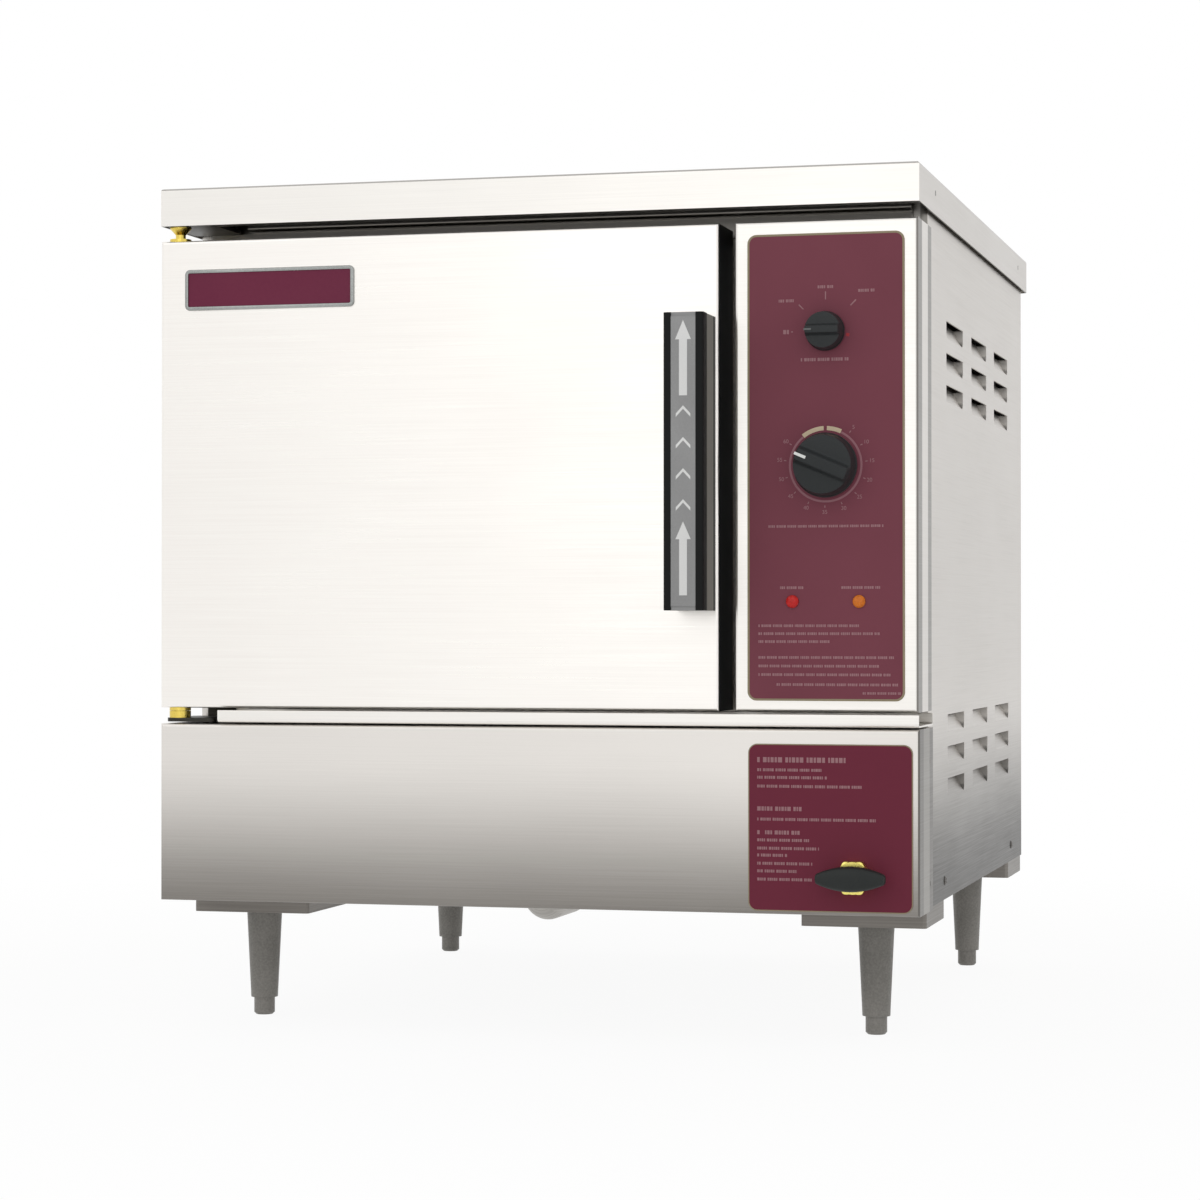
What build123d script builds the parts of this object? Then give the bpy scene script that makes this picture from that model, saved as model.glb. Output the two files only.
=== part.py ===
from build123d import *
import math
import os

os.makedirs("parts", exist_ok=True)

# Countertop convection steamer with one door, in millimetres. The front looks to -Y and z = 0 is
# the counter. The origin is the middle of the footprint.

# Driving dimensions: heights, from the counter up
foot_height = 14.4
leg_length = 72.6
bracket_height = 14.4
lower_panel_height = 140.6
trough_drop = 1.5
trough_height = 9.5
door_under_gap = 1.7
door_height = 372.3
header_gap = 12.0
cover_height = 30.0

# Driving dimensions: widths
body_width = 610.0
side_setback = 4.5
control_width = 140.5
door_side_gap = 12.5
control_inset = 1.0

# Driving dimensions: depths
handle_reach = 45.0
door_thickness = 52.0
face_depth = 67.0
cabinet_depth = 664.0
cover_overhang = 14.0
rear_fitting_reach = 26.0

# Sheet thicknesses and fits
panel_sheet = 1.2
frame_sheet = 1.5
plate_sheet = 3.0
run_clearance = 0.05
free_clearance = 0.3

# Levels that follow from the driving dimensions
leg_top = foot_height + leg_length
body_bottom = leg_top + bracket_height
lower_panel_top = body_bottom + lower_panel_height
trough_bottom = lower_panel_top + trough_drop
trough_top = trough_bottom + trough_height
door_bottom = trough_top + door_under_gap
door_top = door_bottom + door_height
cover_bottom = door_top + header_gap
cover_top = cover_bottom + cover_height
cover_underside = cover_top - panel_sheet

half_width = body_width / 2
side_face = half_width - side_setback
control_right = half_width - control_inset
control_left = control_right - control_width
door_left = -half_width
door_right = control_left - door_side_gap
control_middle = (control_left + control_right) / 2

overall_depth = handle_reach + cabinet_depth + cover_overhang + rear_fitting_reach
door_front = -overall_depth / 2 + handle_reach
door_back = door_front + door_thickness
frame_front = door_front + face_depth
frame_back = frame_front + frame_sheet
cabinet_rear = door_front + cabinet_depth
cover_rear = cabinet_rear + cover_overhang


def front_plane(y):
    """Plane facing the front at depth y: its first axis is X and its second is Z."""
    return Plane.XZ.offset(-y)


def side_plane(x):
    """Plane facing right at x: its first axis is Y and its second is Z."""
    return Plane.YZ.offset(x)


def block(x0, x1, y0, y1, z0, z1, mode=Mode.ADD):
    """Add or cut the block between two opposite corners."""
    with Locations(((x0 + x1) / 2, (y0 + y1) / 2, (z0 + z1) / 2)):
        Box(x1 - x0, y1 - y0, z1 - z0, mode=mode)


def fold_tray(piece, limits, wall, bend, open_axis):
    """Fold a sheet tray that fills the limits and is open at the far end of the axis."""
    block(*limits)
    fillet(piece.faces().sort_by(open_axis)[0].edges(), bend)
    offset(amount=-wall, openings=piece.faces().sort_by(open_axis)[-1])


def disc(radius, y0, y1, x, z, mode=Mode.ADD):
    """Add or cut a cylinder that runs front to back between two depths."""
    with BuildSketch(front_plane(y0)) as section:
        with Locations((x, z)):
            Circle(radius)
    extrude(section.sketch, amount=-(y1 - y0), mode=mode)


def post(radius, z0, z1, x, y, mode=Mode.ADD):
    """Add or cut an upright cylinder between two levels."""
    with BuildSketch(Plane.XY.offset(z0)) as section:
        with Locations((x, y)):
            Circle(radius)
    extrude(section.sketch, amount=z1 - z0, mode=mode)


def axle(radius, x0, x1, y, z, mode=Mode.ADD):
    """Add or cut a cylinder that runs left to right between two places."""
    with BuildSketch(side_plane(x0)) as section:
        with Locations((y, z)):
            Circle(radius)
    extrude(section.sketch, amount=x1 - x0, mode=mode)


def tube_along(points, bend, outside, wall):
    """Bend a tube of the given outside radius along straight runs joined by arcs."""
    with BuildLine() as route:
        if len(points) > 2:
            FilletPolyline(*points, radius=bend)
        else:
            Line(*points)
    start = Plane(origin=route.line @ 0, z_dir=route.line % 0)
    with BuildSketch(start) as ring:
        Circle(outside)
        Circle(outside - wall, mode=Mode.SUBTRACT)
    sweep(ring.sketch, path=route.line)


def save(piece, name):
    """Label a finished piece and write it to its own file."""
    piece.part.label = name
    export_step(piece.part, f"parts/{name}.step")


# Cabinet structure: base pan, welded front frame, formed side panels, rear panel, cover

edge_return = 10.5          # depth of the inward returns round each side panel
side_bend = 8.0
frame_half = side_face - edge_return
frame_flange = 25.0
frame_bend = 3.0
pan_flange = 18.0
rear_flange = 20.0
rear_inner = cabinet_rear - frame_sheet
pan_top = body_bottom + frame_sheet

flange_start = frame_front + frame_flange
flange_end = cabinet_rear - rear_flange

# Cooking cavity, set out from the door that closes it and from the rear panel
cavity_from_hinge_side = 33.0
cavity_from_latch_side = 51.0
cavity_above_door_bottom = 20.3
cavity_below_door_top = 22.0
cavity_corner = 15.0
cavity_from_rear = 34.0
cavity_left = door_left + cavity_from_hinge_side
cavity_right = door_right - cavity_from_latch_side
cavity_floor = door_bottom + cavity_above_door_bottom
cavity_roof = door_top - cavity_below_door_top
cavity_back = rear_inner - cavity_from_rear
cavity_x = (cavity_left + cavity_right) / 2
cavity_z = (cavity_floor + cavity_roof) / 2
cavity_width = cavity_right - cavity_left
cavity_height = cavity_roof - cavity_floor

# Drain of the cavity, through the floor
drain_from_side = 144.0
drain_from_back = 128.5
drain_x = cavity_left + drain_from_side
drain_y = cavity_back - drain_from_back
drain_radius = 21.0
drain_wall = 1.5

with BuildPart() as base_pan:
    block(-frame_half, frame_half, frame_front, cabinet_rear, body_bottom, pan_top)
    for side in (-1, 1):
        outer = side * frame_half
        inner = side * (frame_half - frame_sheet)
        block(min(outer, inner), max(outer, inner), flange_start, flange_end,
              body_bottom, body_bottom + pan_flange)
    post(drain_radius, body_bottom, pan_top, drain_x, drain_y, mode=Mode.SUBTRACT)
save(base_pan, "base_pan")

# Latch, set out from the door's free edge
latch_from_edge = 17.5
latch_above_middle = 2.0
latch_x = door_right - latch_from_edge
latch_z = (door_bottom + door_top) / 2 + latch_above_middle
strike_hole_width = 12.0
strike_hole_below = 32.0
strike_hole_above = 9.3

# Drain valve, low on the right
valve_from_side = 49.5
valve_above_bottom = 29.1
valve_x = half_width - valve_from_side
valve_z = body_bottom + valve_above_bottom
stem_radius = 5.0
stem_hole_margin = 3.0
stem_hole = stem_radius + stem_hole_margin

# Opening for the wiring from the control panel
wiring_radius = 16.0
wiring_above_cavity_floor = 120.0

# Stiffening channel across the frame, seen through the gap under the cover
header_rise = 13.0
header_depth = 10.0
header_height = 12.0
header_from_side = 52.0
header_left = door_left + header_from_side
header_bottom = door_top + header_rise

with BuildPart() as front_frame:
    fold_tray(front_frame, (-frame_half, frame_half, frame_front, flange_start, pan_top,
                            cover_underside), frame_sheet, frame_bend, Axis.Y)
    with BuildSketch(front_plane(frame_front)):
        with Locations((cavity_x, cavity_z)):
            RectangleRounded(cavity_width, cavity_height, cavity_corner)
        with Locations((valve_x, valve_z)):
            Circle(stem_hole)
        with Locations((control_middle, cavity_floor + wiring_above_cavity_floor)):
            Circle(wiring_radius)
        with Locations((latch_x, latch_z + (strike_hole_above - strike_hole_below) / 2)):
            Rectangle(strike_hole_width, strike_hole_above + strike_hole_below)
    extrude(amount=-frame_sheet, mode=Mode.SUBTRACT)
    with BuildSketch(side_plane(header_left)):
        with BuildLine():
            bottom = header_bottom + panel_sheet / 2
            top = header_bottom + header_height - panel_sheet / 2
            nose = frame_front - header_depth + panel_sheet / 2
            FilletPolyline((frame_front, bottom), (nose, bottom), (nose, top), (frame_front, top),
                           radius=2 * panel_sheet)
            offset(amount=panel_sheet / 2, side=Side.BOTH)
        make_face()
    extrude(amount=frame_half - header_left)
save(front_frame, "front_frame")

# Pressed louvres of the right side: three columns and three rows in two groups
louvre_length = 95.0
louvre_height = 14.0
louvre_depth = 8.0
louvre_corner = 5.5
louvre_bow = 5.2
louvre_rows = 3
louvre_columns = 3
louvre_row_pitch = 25.7
louvre_column_pitch = 147.0
upper_louvre_from_front = 366.0
upper_louvre_from_top = 136.5
lower_louvre_from_front = 372.0
lower_louvre_from_bottom = 114.6
louvre_skin = 0.9

side_screw_radius = 2.0
side_screw_inset = 80.0
side_screw_rise = 15.0
side_screw_places = (door_front + 2 * side_screw_inset, cabinet_rear - side_screw_inset)
cover_screw_from_front = 83.0
cover_screw_from_rear = 71.7
cover_screw_below_top = 13.4
cover_screw_radius = 2.2
cover_screw_z = cover_top - cover_screw_below_top
cover_screw_places = (door_front + cover_screw_from_front, cover_rear - cover_screw_from_rear)


def louvre_pocket(skin):
    """Pocket pressed in from the face, with a skin round it: flush at its foot, open at the top."""
    low = -louvre_height / 2 - skin
    high = louvre_height / 2
    length = louvre_length + 2 * skin
    with BuildPart() as pocket:
        with BuildSketch(front_plane(-length / 2)):
            with BuildLine():
                deep = side_face - louvre_depth - skin
                ThreePointArc((side_face, low), (side_face - louvre_bow - skin, 0), (deep, high))
                Polyline((deep, high), (side_face, high), (side_face, low))
            make_face()
        extrude(amount=-length)
        with BuildSketch(side_plane(side_face)):
            corner = louvre_corner + skin
            with Locations((0, (low + high + 2 * corner) / 2)):
                RectangleRounded(length, high + 2 * corner - low, corner)
        extrude(amount=-2 * louvre_depth, mode=Mode.INTERSECT)
    return pocket.part


def side_tray(piece, hand):
    """Fold one side panel: a tray 10 mm deep with a wide bend down its front edge."""
    outer = hand * side_face
    inner = hand * frame_half
    front_edge = frame_back + 2 * panel_sheet
    block(min(outer, inner), max(outer, inner), front_edge, cabinet_rear, body_bottom, cover_underside)
    face = piece.faces().sort_by(Axis.X)[0 if hand < 0 else -1]
    fillet(face.edges().sort_by(Axis.Y)[0], side_bend)
    offset(amount=-panel_sheet, openings=piece.faces().sort_by(Axis.X)[-1 if hand < 0 else 0])
    for y in side_screw_places:
        axle(side_screw_radius, min(outer, inner), max(outer, inner), y, body_bottom + side_screw_rise,
             mode=Mode.SUBTRACT)
    for y in cover_screw_places:
        axle(cover_screw_radius, min(outer, inner), max(outer, inner), y, cover_screw_z,
             mode=Mode.SUBTRACT)


with BuildPart() as left_side_panel:
    side_tray(left_side_panel, -1)
save(left_side_panel, "left_side_panel")

with BuildPart() as right_side_panel:
    side_tray(right_side_panel, 1)
    for group_middle, group_level in (
            (door_front + upper_louvre_from_front, cover_top - upper_louvre_from_top),
            (door_front + lower_louvre_from_front, body_bottom + lower_louvre_from_bottom)):
        places = [(0, group_middle + (column - (louvre_columns - 1) / 2) * louvre_column_pitch,
                   group_level + (row - (louvre_rows - 1) / 2) * louvre_row_pitch)
                  for column in range(louvre_columns) for row in range(louvre_rows)]
        with Locations(*places):
            add(louvre_pocket(louvre_skin))
        with Locations(*places):
            add(louvre_pocket(0), mode=Mode.SUBTRACT)
save(right_side_panel, "right_side_panel")

# Fittings through the rear panel
fittings_from_side = 90.0
fittings_x = half_width - fittings_from_side
inlet_rise = 60.0
inlet_radius = 13.0
inlet_z = body_bottom + inlet_rise
gland_above_inlet = 130.0
gland_radius = 13.5
gland_z = inlet_z + gland_above_inlet

with BuildPart() as rear_panel:
    block(-frame_half, frame_half, rear_inner, cabinet_rear, pan_top, cover_underside)
    for side in (-1, 1):
        outer = side * frame_half
        inner = side * (frame_half - frame_sheet)
        block(min(outer, inner), max(outer, inner), flange_end, cabinet_rear, pan_top, cover_underside)
    disc(inlet_radius, rear_inner, cabinet_rear, fittings_x, inlet_z, mode=Mode.SUBTRACT)
    disc(gland_radius, rear_inner, cabinet_rear, fittings_x, gland_z, mode=Mode.SUBTRACT)
save(rear_panel, "rear_panel")

cover_bend = 2.0
cover_corner = 6.0
cover_lip = 13.0
hinge_plate_length = 44.0
hinge_plate_right = door_left + hinge_plate_length

with BuildPart() as top_cover:
    block(-half_width, half_width, door_front, cover_rear, cover_bottom, cover_top)
    fillet(top_cover.edges().filter_by(Axis.Z).group_by(Axis.Y)[-1], cover_corner)
    fillet(top_cover.faces().sort_by(Axis.Z)[-1].edges(), cover_bend)
    offset(amount=-panel_sheet, openings=top_cover.faces().sort_by(Axis.Z)[0])
    block(hinge_plate_right + free_clearance, half_width - panel_sheet, door_front + panel_sheet,
          door_front + cover_lip, cover_bottom, cover_bottom + panel_sheet)
    for y in cover_screw_places:
        axle(cover_screw_radius, -half_width, half_width, y, cover_screw_z, mode=Mode.SUBTRACT)
save(top_cover, "top_cover")

# Front face under the door, with the drain valve's stem through it
front_bend = 2.5
face_screw_high = 114.6
face_screw_low = 21.6
face_screw_depth = 52.0

with BuildPart() as lower_front_panel:
    fold_tray(lower_front_panel, (-half_width, half_width, door_front, frame_front, body_bottom,
                                  lower_panel_top), panel_sheet, front_bend, Axis.Y)
    disc(stem_hole, door_front, door_front + panel_sheet, valve_x, valve_z, mode=Mode.SUBTRACT)
    for rise in (face_screw_low, face_screw_high):
        axle(cover_screw_radius, -half_width, half_width, door_front + face_screw_depth,
             body_bottom + rise, mode=Mode.SUBTRACT)
save(lower_front_panel, "lower_front_panel")

trough_reach = 4.0
trough_left = door_left + 50.0
trough_sheet = 1.2

with BuildPart() as drip_trough:
    with BuildSketch(side_plane(trough_left)):
        with BuildLine():
            low = trough_bottom + trough_sheet / 2
            high = trough_top - trough_sheet / 2
            lip = door_front - trough_reach + trough_sheet / 2
            rear = frame_front - trough_sheet / 2
            FilletPolyline((lip, high), (lip, low), (rear, low), (rear, high), radius=2 * trough_sheet)
            offset(amount=trough_sheet / 2, side=Side.BOTH)
        make_face()
    extrude(amount=half_width - trough_left)
save(drip_trough, "drip_trough")

# Control panel: a formed box with holes for two shafts and two signal lamps
selector_below_top = 84.4
timer_below_top = 185.7
lamps_below_top = 288.7
lamp_spacing = 51.1
lamp_radius = 4.8
lamp_fit = 0.2
lamp_hole = lamp_radius + lamp_fit
shaft_radius = 3.0
shaft_hole = 5.0
selector_z = door_top - selector_below_top
timer_z = door_top - timer_below_top
lamp_z = door_top - lamps_below_top
panel_face = door_front + panel_sheet

with BuildPart() as control_panel:
    fold_tray(control_panel, (control_left, control_right, door_front, frame_front, door_bottom,
                              door_top), panel_sheet, front_bend, Axis.Y)
    for level in (selector_z, timer_z):
        disc(shaft_hole, door_front, panel_face, control_middle, level, mode=Mode.SUBTRACT)
    for side in (-1, 1):
        disc(lamp_hole, door_front, panel_face, control_middle + side * lamp_spacing / 2, lamp_z,
             mode=Mode.SUBTRACT)
save(control_panel, "control_panel")

# Printed overlays, one on the control panel and one beside the drain valve
overlay_skin = 0.6
overlay_corner = 7.0
overlay_side = 10.0
overlay_top = 10.0
overlay_bottom = 8.5
lower_overlay_width = 126.0
lower_overlay_side = 5.0
lower_overlay_top = 11.5
lower_overlay_bottom = 2.5

with BuildPart() as front_overlays:
    with BuildSketch(front_plane(door_front)):
        low = door_bottom + overlay_bottom
        high = door_top - overlay_top
        with Locations((control_middle, (low + high) / 2)):
            RectangleRounded(control_right - control_left - 2 * overlay_side, high - low, overlay_corner)
        for level in (selector_z, timer_z):
            with Locations((control_middle, level)):
                Circle(shaft_hole, mode=Mode.SUBTRACT)
        with Locations((control_middle, lamp_z)):
            with GridLocations(lamp_spacing, 0, 2, 1):
                Circle(lamp_hole, mode=Mode.SUBTRACT)
    extrude(amount=overlay_skin)
    with BuildSketch(front_plane(door_front)):
        right = half_width - lower_overlay_side
        low = body_bottom + lower_overlay_bottom
        high = lower_panel_top - lower_overlay_top
        with Locations((right - lower_overlay_width / 2, (low + high) / 2)):
            RectangleRounded(lower_overlay_width, high - low, overlay_corner)
        with Locations((valve_x, valve_z)):
            Circle(stem_hole, mode=Mode.SUBTRACT)
    extrude(amount=overlay_skin)
save(front_overlays, "front_overlays")

# Hinges: two plates on the front frame, each with a fixed pin that turns in a bush in the door
pin_from_edge = 12.0
pin_radius = 4.0
pin_depth = 18.0
pin_collar_radius = 8.5
pin_taper = 6.0
pin_rim = 1.0
bush_radius = 6.5
bush_flange = 2.5
bush_length = 22.0
hinge_leg = 22.0
lower_hinge_leg = 15.0
hinge_corner = 6.0
hinge_edge = 3.0
pin_x = door_left + pin_from_edge
pin_y = door_front + pin_from_edge
upper_plate_z = cover_bottom
lower_plate_z = trough_bottom
lower_plate_top = lower_plate_z + plate_sheet
lower_collar_top = door_bottom - bush_flange - free_clearance

with BuildPart() as hinge_plates:
    for plate_z, leg_z, leg_end in (
            (upper_plate_z, upper_plate_z, upper_plate_z + hinge_leg),
            (lower_plate_z, lower_plate_z, lower_plate_z + lower_hinge_leg)):
        with BuildSketch(Plane.XY.offset(plate_z)):
            left = door_left + hinge_edge
            front = door_front + hinge_edge
            with Locations(((left + hinge_plate_right) / 2, (front + frame_front) / 2)):
                RectangleRounded(hinge_plate_right - left, frame_front - front, hinge_corner)
            with Locations((pin_x, pin_y)):
                Circle(pin_radius, mode=Mode.SUBTRACT)
        extrude(amount=plate_sheet)
        block(-frame_half, hinge_plate_right - hinge_corner, frame_front - plate_sheet, frame_front,
              leg_z, leg_end)
save(hinge_plates, "hinge_plates")

with BuildPart() as hinge_pins:
    with BuildSketch(Plane.XZ.offset(-pin_y)):
        with BuildLine():
            top = upper_plate_z
            end = door_top - pin_depth
            Polyline((pin_x, end), (pin_x + pin_radius, end), (pin_x + pin_radius, top - pin_taper),
                     (pin_x + pin_collar_radius, top - pin_rim), (pin_x + pin_collar_radius, top),
                     (pin_x + pin_radius, top), (pin_x + pin_radius, top + plate_sheet),
                     (pin_x, top + plate_sheet), (pin_x, end))
        make_face()
    revolve(axis=Axis((pin_x, pin_y, 0), (0, 0, 1)))
    with BuildSketch(Plane.XZ.offset(-pin_y)):
        with BuildLine():
            base = lower_plate_z
            seat = lower_plate_top
            end = door_bottom + pin_depth
            Polyline((pin_x, base), (pin_x + pin_radius, base), (pin_x + pin_radius, seat),
                     (pin_x + pin_collar_radius, seat), (pin_x + pin_collar_radius, lower_collar_top),
                     (pin_x + pin_radius, lower_collar_top), (pin_x + pin_radius, end), (pin_x, end),
                     (pin_x, base))
        make_face()
    revolve(axis=Axis((pin_x, pin_y, 0), (0, 0, 1)))
save(hinge_pins, "hinge_pins")

# Door: folded outer skin, inner liner, insulation, gasket and the two hinge bushes
door_sheet = 1.0
door_return = 8.0
door_inner = door_back - door_sheet
gasket_width = 9.0
gasket_lip = 4.0
gasket_base = 7.0
tab_width = 6.0
tab_height = 8.0
handle_lift = 12.0
slot_slack = 1.0
slot_low = latch_z - tab_height / 2 - slot_slack
slot_high = latch_z + tab_height / 2 + handle_lift + slot_slack
slot_width = tab_width + 2 * slot_slack

with BuildPart() as door_outer_panel:
    block(door_left, door_right, door_front, door_back, door_bottom, door_top)
    fillet(door_outer_panel.faces().sort_by(Axis.Y)[0].edges(), front_bend)
    block(door_left + door_sheet, door_right - door_sheet, door_front + door_sheet, door_inner,
          door_bottom + door_sheet, door_top - door_sheet, mode=Mode.SUBTRACT)
    block(door_left + door_return, door_right - door_return, door_inner, door_back,
          door_bottom + door_return, door_top - door_return, mode=Mode.SUBTRACT)
    block(latch_x - slot_width / 2, latch_x + slot_width / 2, door_front, door_front + door_sheet,
          slot_low, slot_high, mode=Mode.SUBTRACT)
    post(bush_radius, door_bottom, door_bottom + door_sheet, pin_x, pin_y, mode=Mode.SUBTRACT)
    post(bush_radius, door_top - door_sheet, door_top, pin_x, pin_y, mode=Mode.SUBTRACT)
save(door_outer_panel, "door_outer_panel")

with BuildPart() as door_bushes:
    for end, direction in ((door_top, 1), (door_bottom, -1)):
        flange = end + direction * bush_flange
        tail = end - direction * bush_length
        post(pin_collar_radius, min(end, flange), max(end, flange), pin_x, pin_y)
        post(bush_radius, min(end, tail), max(end, tail), pin_x, pin_y)
        post(pin_radius + run_clearance, min(tail, flange), max(tail, flange), pin_x, pin_y,
             mode=Mode.SUBTRACT)
save(door_bushes, "door_bushes")

# The gasket runs round the cavity's mouth, on the flat edge of the liner
liner_sheet = 0.8
liner_gap = 1.0
liner_raise = 5.0
liner_draft = 25.0
liner_field_inset = 8.0
gasket_offset = 2.0
mouth_width = cavity_width + 2 * gasket_offset
mouth_height = cavity_height + 2 * gasket_offset
hook_slot_width = 10.0
hook_slot_below = 22.0
hook_slot_above = 10.0

with BuildPart() as door_liner:
    block(door_left + door_sheet + liner_gap, door_right - door_sheet - liner_gap,
          door_inner - liner_sheet, door_inner, door_bottom + door_sheet + liner_gap,
          door_top - door_sheet - liner_gap)
    with BuildSketch(front_plane(door_inner)):
        with Locations((cavity_x, cavity_z)):
            RectangleRounded(cavity_width - 2 * liner_field_inset, cavity_height - 2 * liner_field_inset,
                             cavity_corner)
    extrude(amount=-liner_raise, taper=liner_draft)
    with BuildSketch(front_plane(door_inner - liner_sheet)):
        with Locations((cavity_x, cavity_z)):
            RectangleRounded(cavity_width - 2 * liner_field_inset - 2 * liner_sheet,
                             cavity_height - 2 * liner_field_inset - 2 * liner_sheet, cavity_corner)
    extrude(amount=-liner_raise, taper=liner_draft, mode=Mode.SUBTRACT)
    block(latch_x - hook_slot_width / 2, latch_x + hook_slot_width / 2, door_inner - liner_sheet,
          door_inner, latch_z - hook_slot_below, latch_z + hook_slot_above, mode=Mode.SUBTRACT)
save(door_liner, "door_liner")

insulation_from_hinge = 22.0
insulation_from_latch = 46.0

with BuildPart() as door_insulation:
    block(door_left + insulation_from_hinge, door_right - insulation_from_latch,
          door_front + door_sheet, door_inner - liner_sheet,
          door_bottom + door_sheet, door_top - door_sheet)
save(door_insulation, "door_insulation")

with BuildPart() as door_gasket:
    with BuildSketch(front_plane(door_inner)):
        with Locations((cavity_x, cavity_z)):
            RectangleRounded(mouth_width + 2 * gasket_width, mouth_height + 2 * gasket_width,
                             cavity_corner + gasket_width)
            RectangleRounded(mouth_width, mouth_height, cavity_corner, mode=Mode.SUBTRACT)
    extrude(amount=-gasket_base)
    with BuildSketch(front_plane(door_inner + gasket_base)):
        with Locations((cavity_x, cavity_z)):
            RectangleRounded(mouth_width + gasket_width + gasket_lip,
                             mouth_height + gasket_width + gasket_lip, cavity_corner + gasket_lip)
            RectangleRounded(mouth_width + gasket_width - gasket_lip,
                             mouth_height + gasket_width - gasket_lip, cavity_corner,
                             mode=Mode.SUBTRACT)
    extrude(amount=-(frame_front - free_clearance - door_inner - gasket_base))
save(door_gasket, "door_gasket")

# Bare nameplate in the door's upper corner
nameplate_from_side = 21.0
nameplate_width = 142.0
nameplate_height = 32.5
nameplate_below_top = 23.5
nameplate_thickness = 2.0
nameplate_corner = 4.0
nameplate_rim = 3.0
nameplate_recess = 0.8
nameplate_x = door_left + nameplate_from_side + nameplate_width / 2
nameplate_z = door_top - nameplate_below_top - nameplate_height / 2

with BuildPart() as nameplate:
    with BuildSketch(front_plane(door_front)):
        with Locations((nameplate_x, nameplate_z)):
            RectangleRounded(nameplate_width, nameplate_height, nameplate_corner)
    extrude(amount=nameplate_thickness)
    with BuildSketch(front_plane(door_front - nameplate_thickness)):
        with Locations((nameplate_x, nameplate_z)):
            Rectangle(nameplate_width - 2 * nameplate_rim, nameplate_height - 2 * nameplate_rim)
    extrude(amount=-nameplate_recess, mode=Mode.SUBTRACT)
save(nameplate, "nameplate")

# Handle: a channel that lifts on a T-shaped rail, with a tab through the door to the latch
handle_width = 31.0
handle_length = 224.0
handle_below_door_top = 71.5
handle_wall = 3.0
handle_foot_gap = 0.5
handle_top = door_top - handle_below_door_top
handle_bottom = handle_top - handle_length
handle_x = latch_x
handle_front = door_front - handle_reach
handle_back = door_front - handle_foot_gap
grip_neck = 22.0
grip_head = 14.0
rail_head = 4.0
rail_neck = 4.0
rail_stem = 10.0
rail_half = grip_neck / 2 - handle_wall - free_clearance
rail_bottom = handle_bottom + handle_wall + handle_lift + free_clearance
rail_top = handle_top - handle_wall - free_clearance
grip_corner = 2.5
inlay_side = 6.0
inlay_end = 3.0
inlay_skin = 0.8
inlay_recess = 0.2
tab_reach = 6.0
tab_end = door_front + tab_reach


def inlay(recess, mode=Mode.ADD):
    """Add or cut the flat strip in the front of the handle, with its face at the given recess."""
    block(handle_x - handle_width / 2 + inlay_side, handle_x + handle_width / 2 - inlay_side,
          handle_front + recess, handle_front + inlay_recess + inlay_skin, handle_bottom + inlay_end,
          handle_top - inlay_end, mode=mode)


with BuildPart() as handle_rail:
    with BuildSketch(Plane.XY.offset(rail_bottom)):
        with Locations((handle_x, door_front - rail_neck / 2)):
            Rectangle(rail_stem, rail_neck)
        with Locations((handle_x, door_front - rail_neck - rail_head / 2)):
            Rectangle(2 * rail_half, rail_head)
    extrude(amount=rail_top - rail_bottom)
    block(handle_x - slot_width / 2, handle_x + slot_width / 2, door_front - rail_neck - rail_head,
          door_front, slot_low, slot_high, mode=Mode.SUBTRACT)
save(handle_rail, "handle_rail")

with BuildPart() as handle_grip:
    with BuildSketch(Plane.XY.offset(handle_bottom)):
        with Locations((handle_x, handle_front + grip_head / 2)):
            RectangleRounded(handle_width, grip_head, grip_corner)
        neck_depth = handle_back - handle_front - grip_head / 2
        with Locations((handle_x, handle_back - neck_depth / 2)):
            Rectangle(grip_neck, neck_depth)
    extrude(amount=handle_length)
    block(handle_x - grip_neck / 2 + handle_wall, handle_x + grip_neck / 2 - handle_wall,
          handle_front + handle_wall, door_front - rail_neck + free_clearance,
          handle_bottom + handle_wall, handle_top - handle_wall, mode=Mode.SUBTRACT)
    block(handle_x - rail_stem / 2 - free_clearance, handle_x + rail_stem / 2 + free_clearance,
          handle_front + handle_wall, handle_back,
          handle_bottom + handle_wall, handle_top - handle_wall, mode=Mode.SUBTRACT)
    block(handle_x - tab_width / 2, handle_x + tab_width / 2, handle_front + handle_wall, tab_end,
          latch_z - tab_height / 2, latch_z + tab_height / 2)
    axle(tab_height / 2, handle_x - tab_width / 2, handle_x + tab_width / 2, tab_end, latch_z)
    inlay(0, mode=Mode.SUBTRACT)
save(handle_grip, "handle_grip")

with BuildPart() as handle_face_plate:
    inlay(inlay_recess)
save(handle_face_plate, "handle_face_plate")

# Latch: a rocking hook on a pivot in the door; its nose passes through the strike on the frame
pivot_depth = 30.0
pivot_radius = 3.0
hook_thickness = 5.0
hook_bar = 8.0
hook_nose = 6.0
fork_wall = 4.0
fork_overlap = 2.0
fork_play = 0.8
pivot_y = door_front + pivot_depth
hook_gap = tab_height / 2 + fork_play
strike_thickness = 3.0
strike_margin = 8.0
nose_reach = 8.0
cheek_rise = 16.0
cheek_front = 8.0

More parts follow.
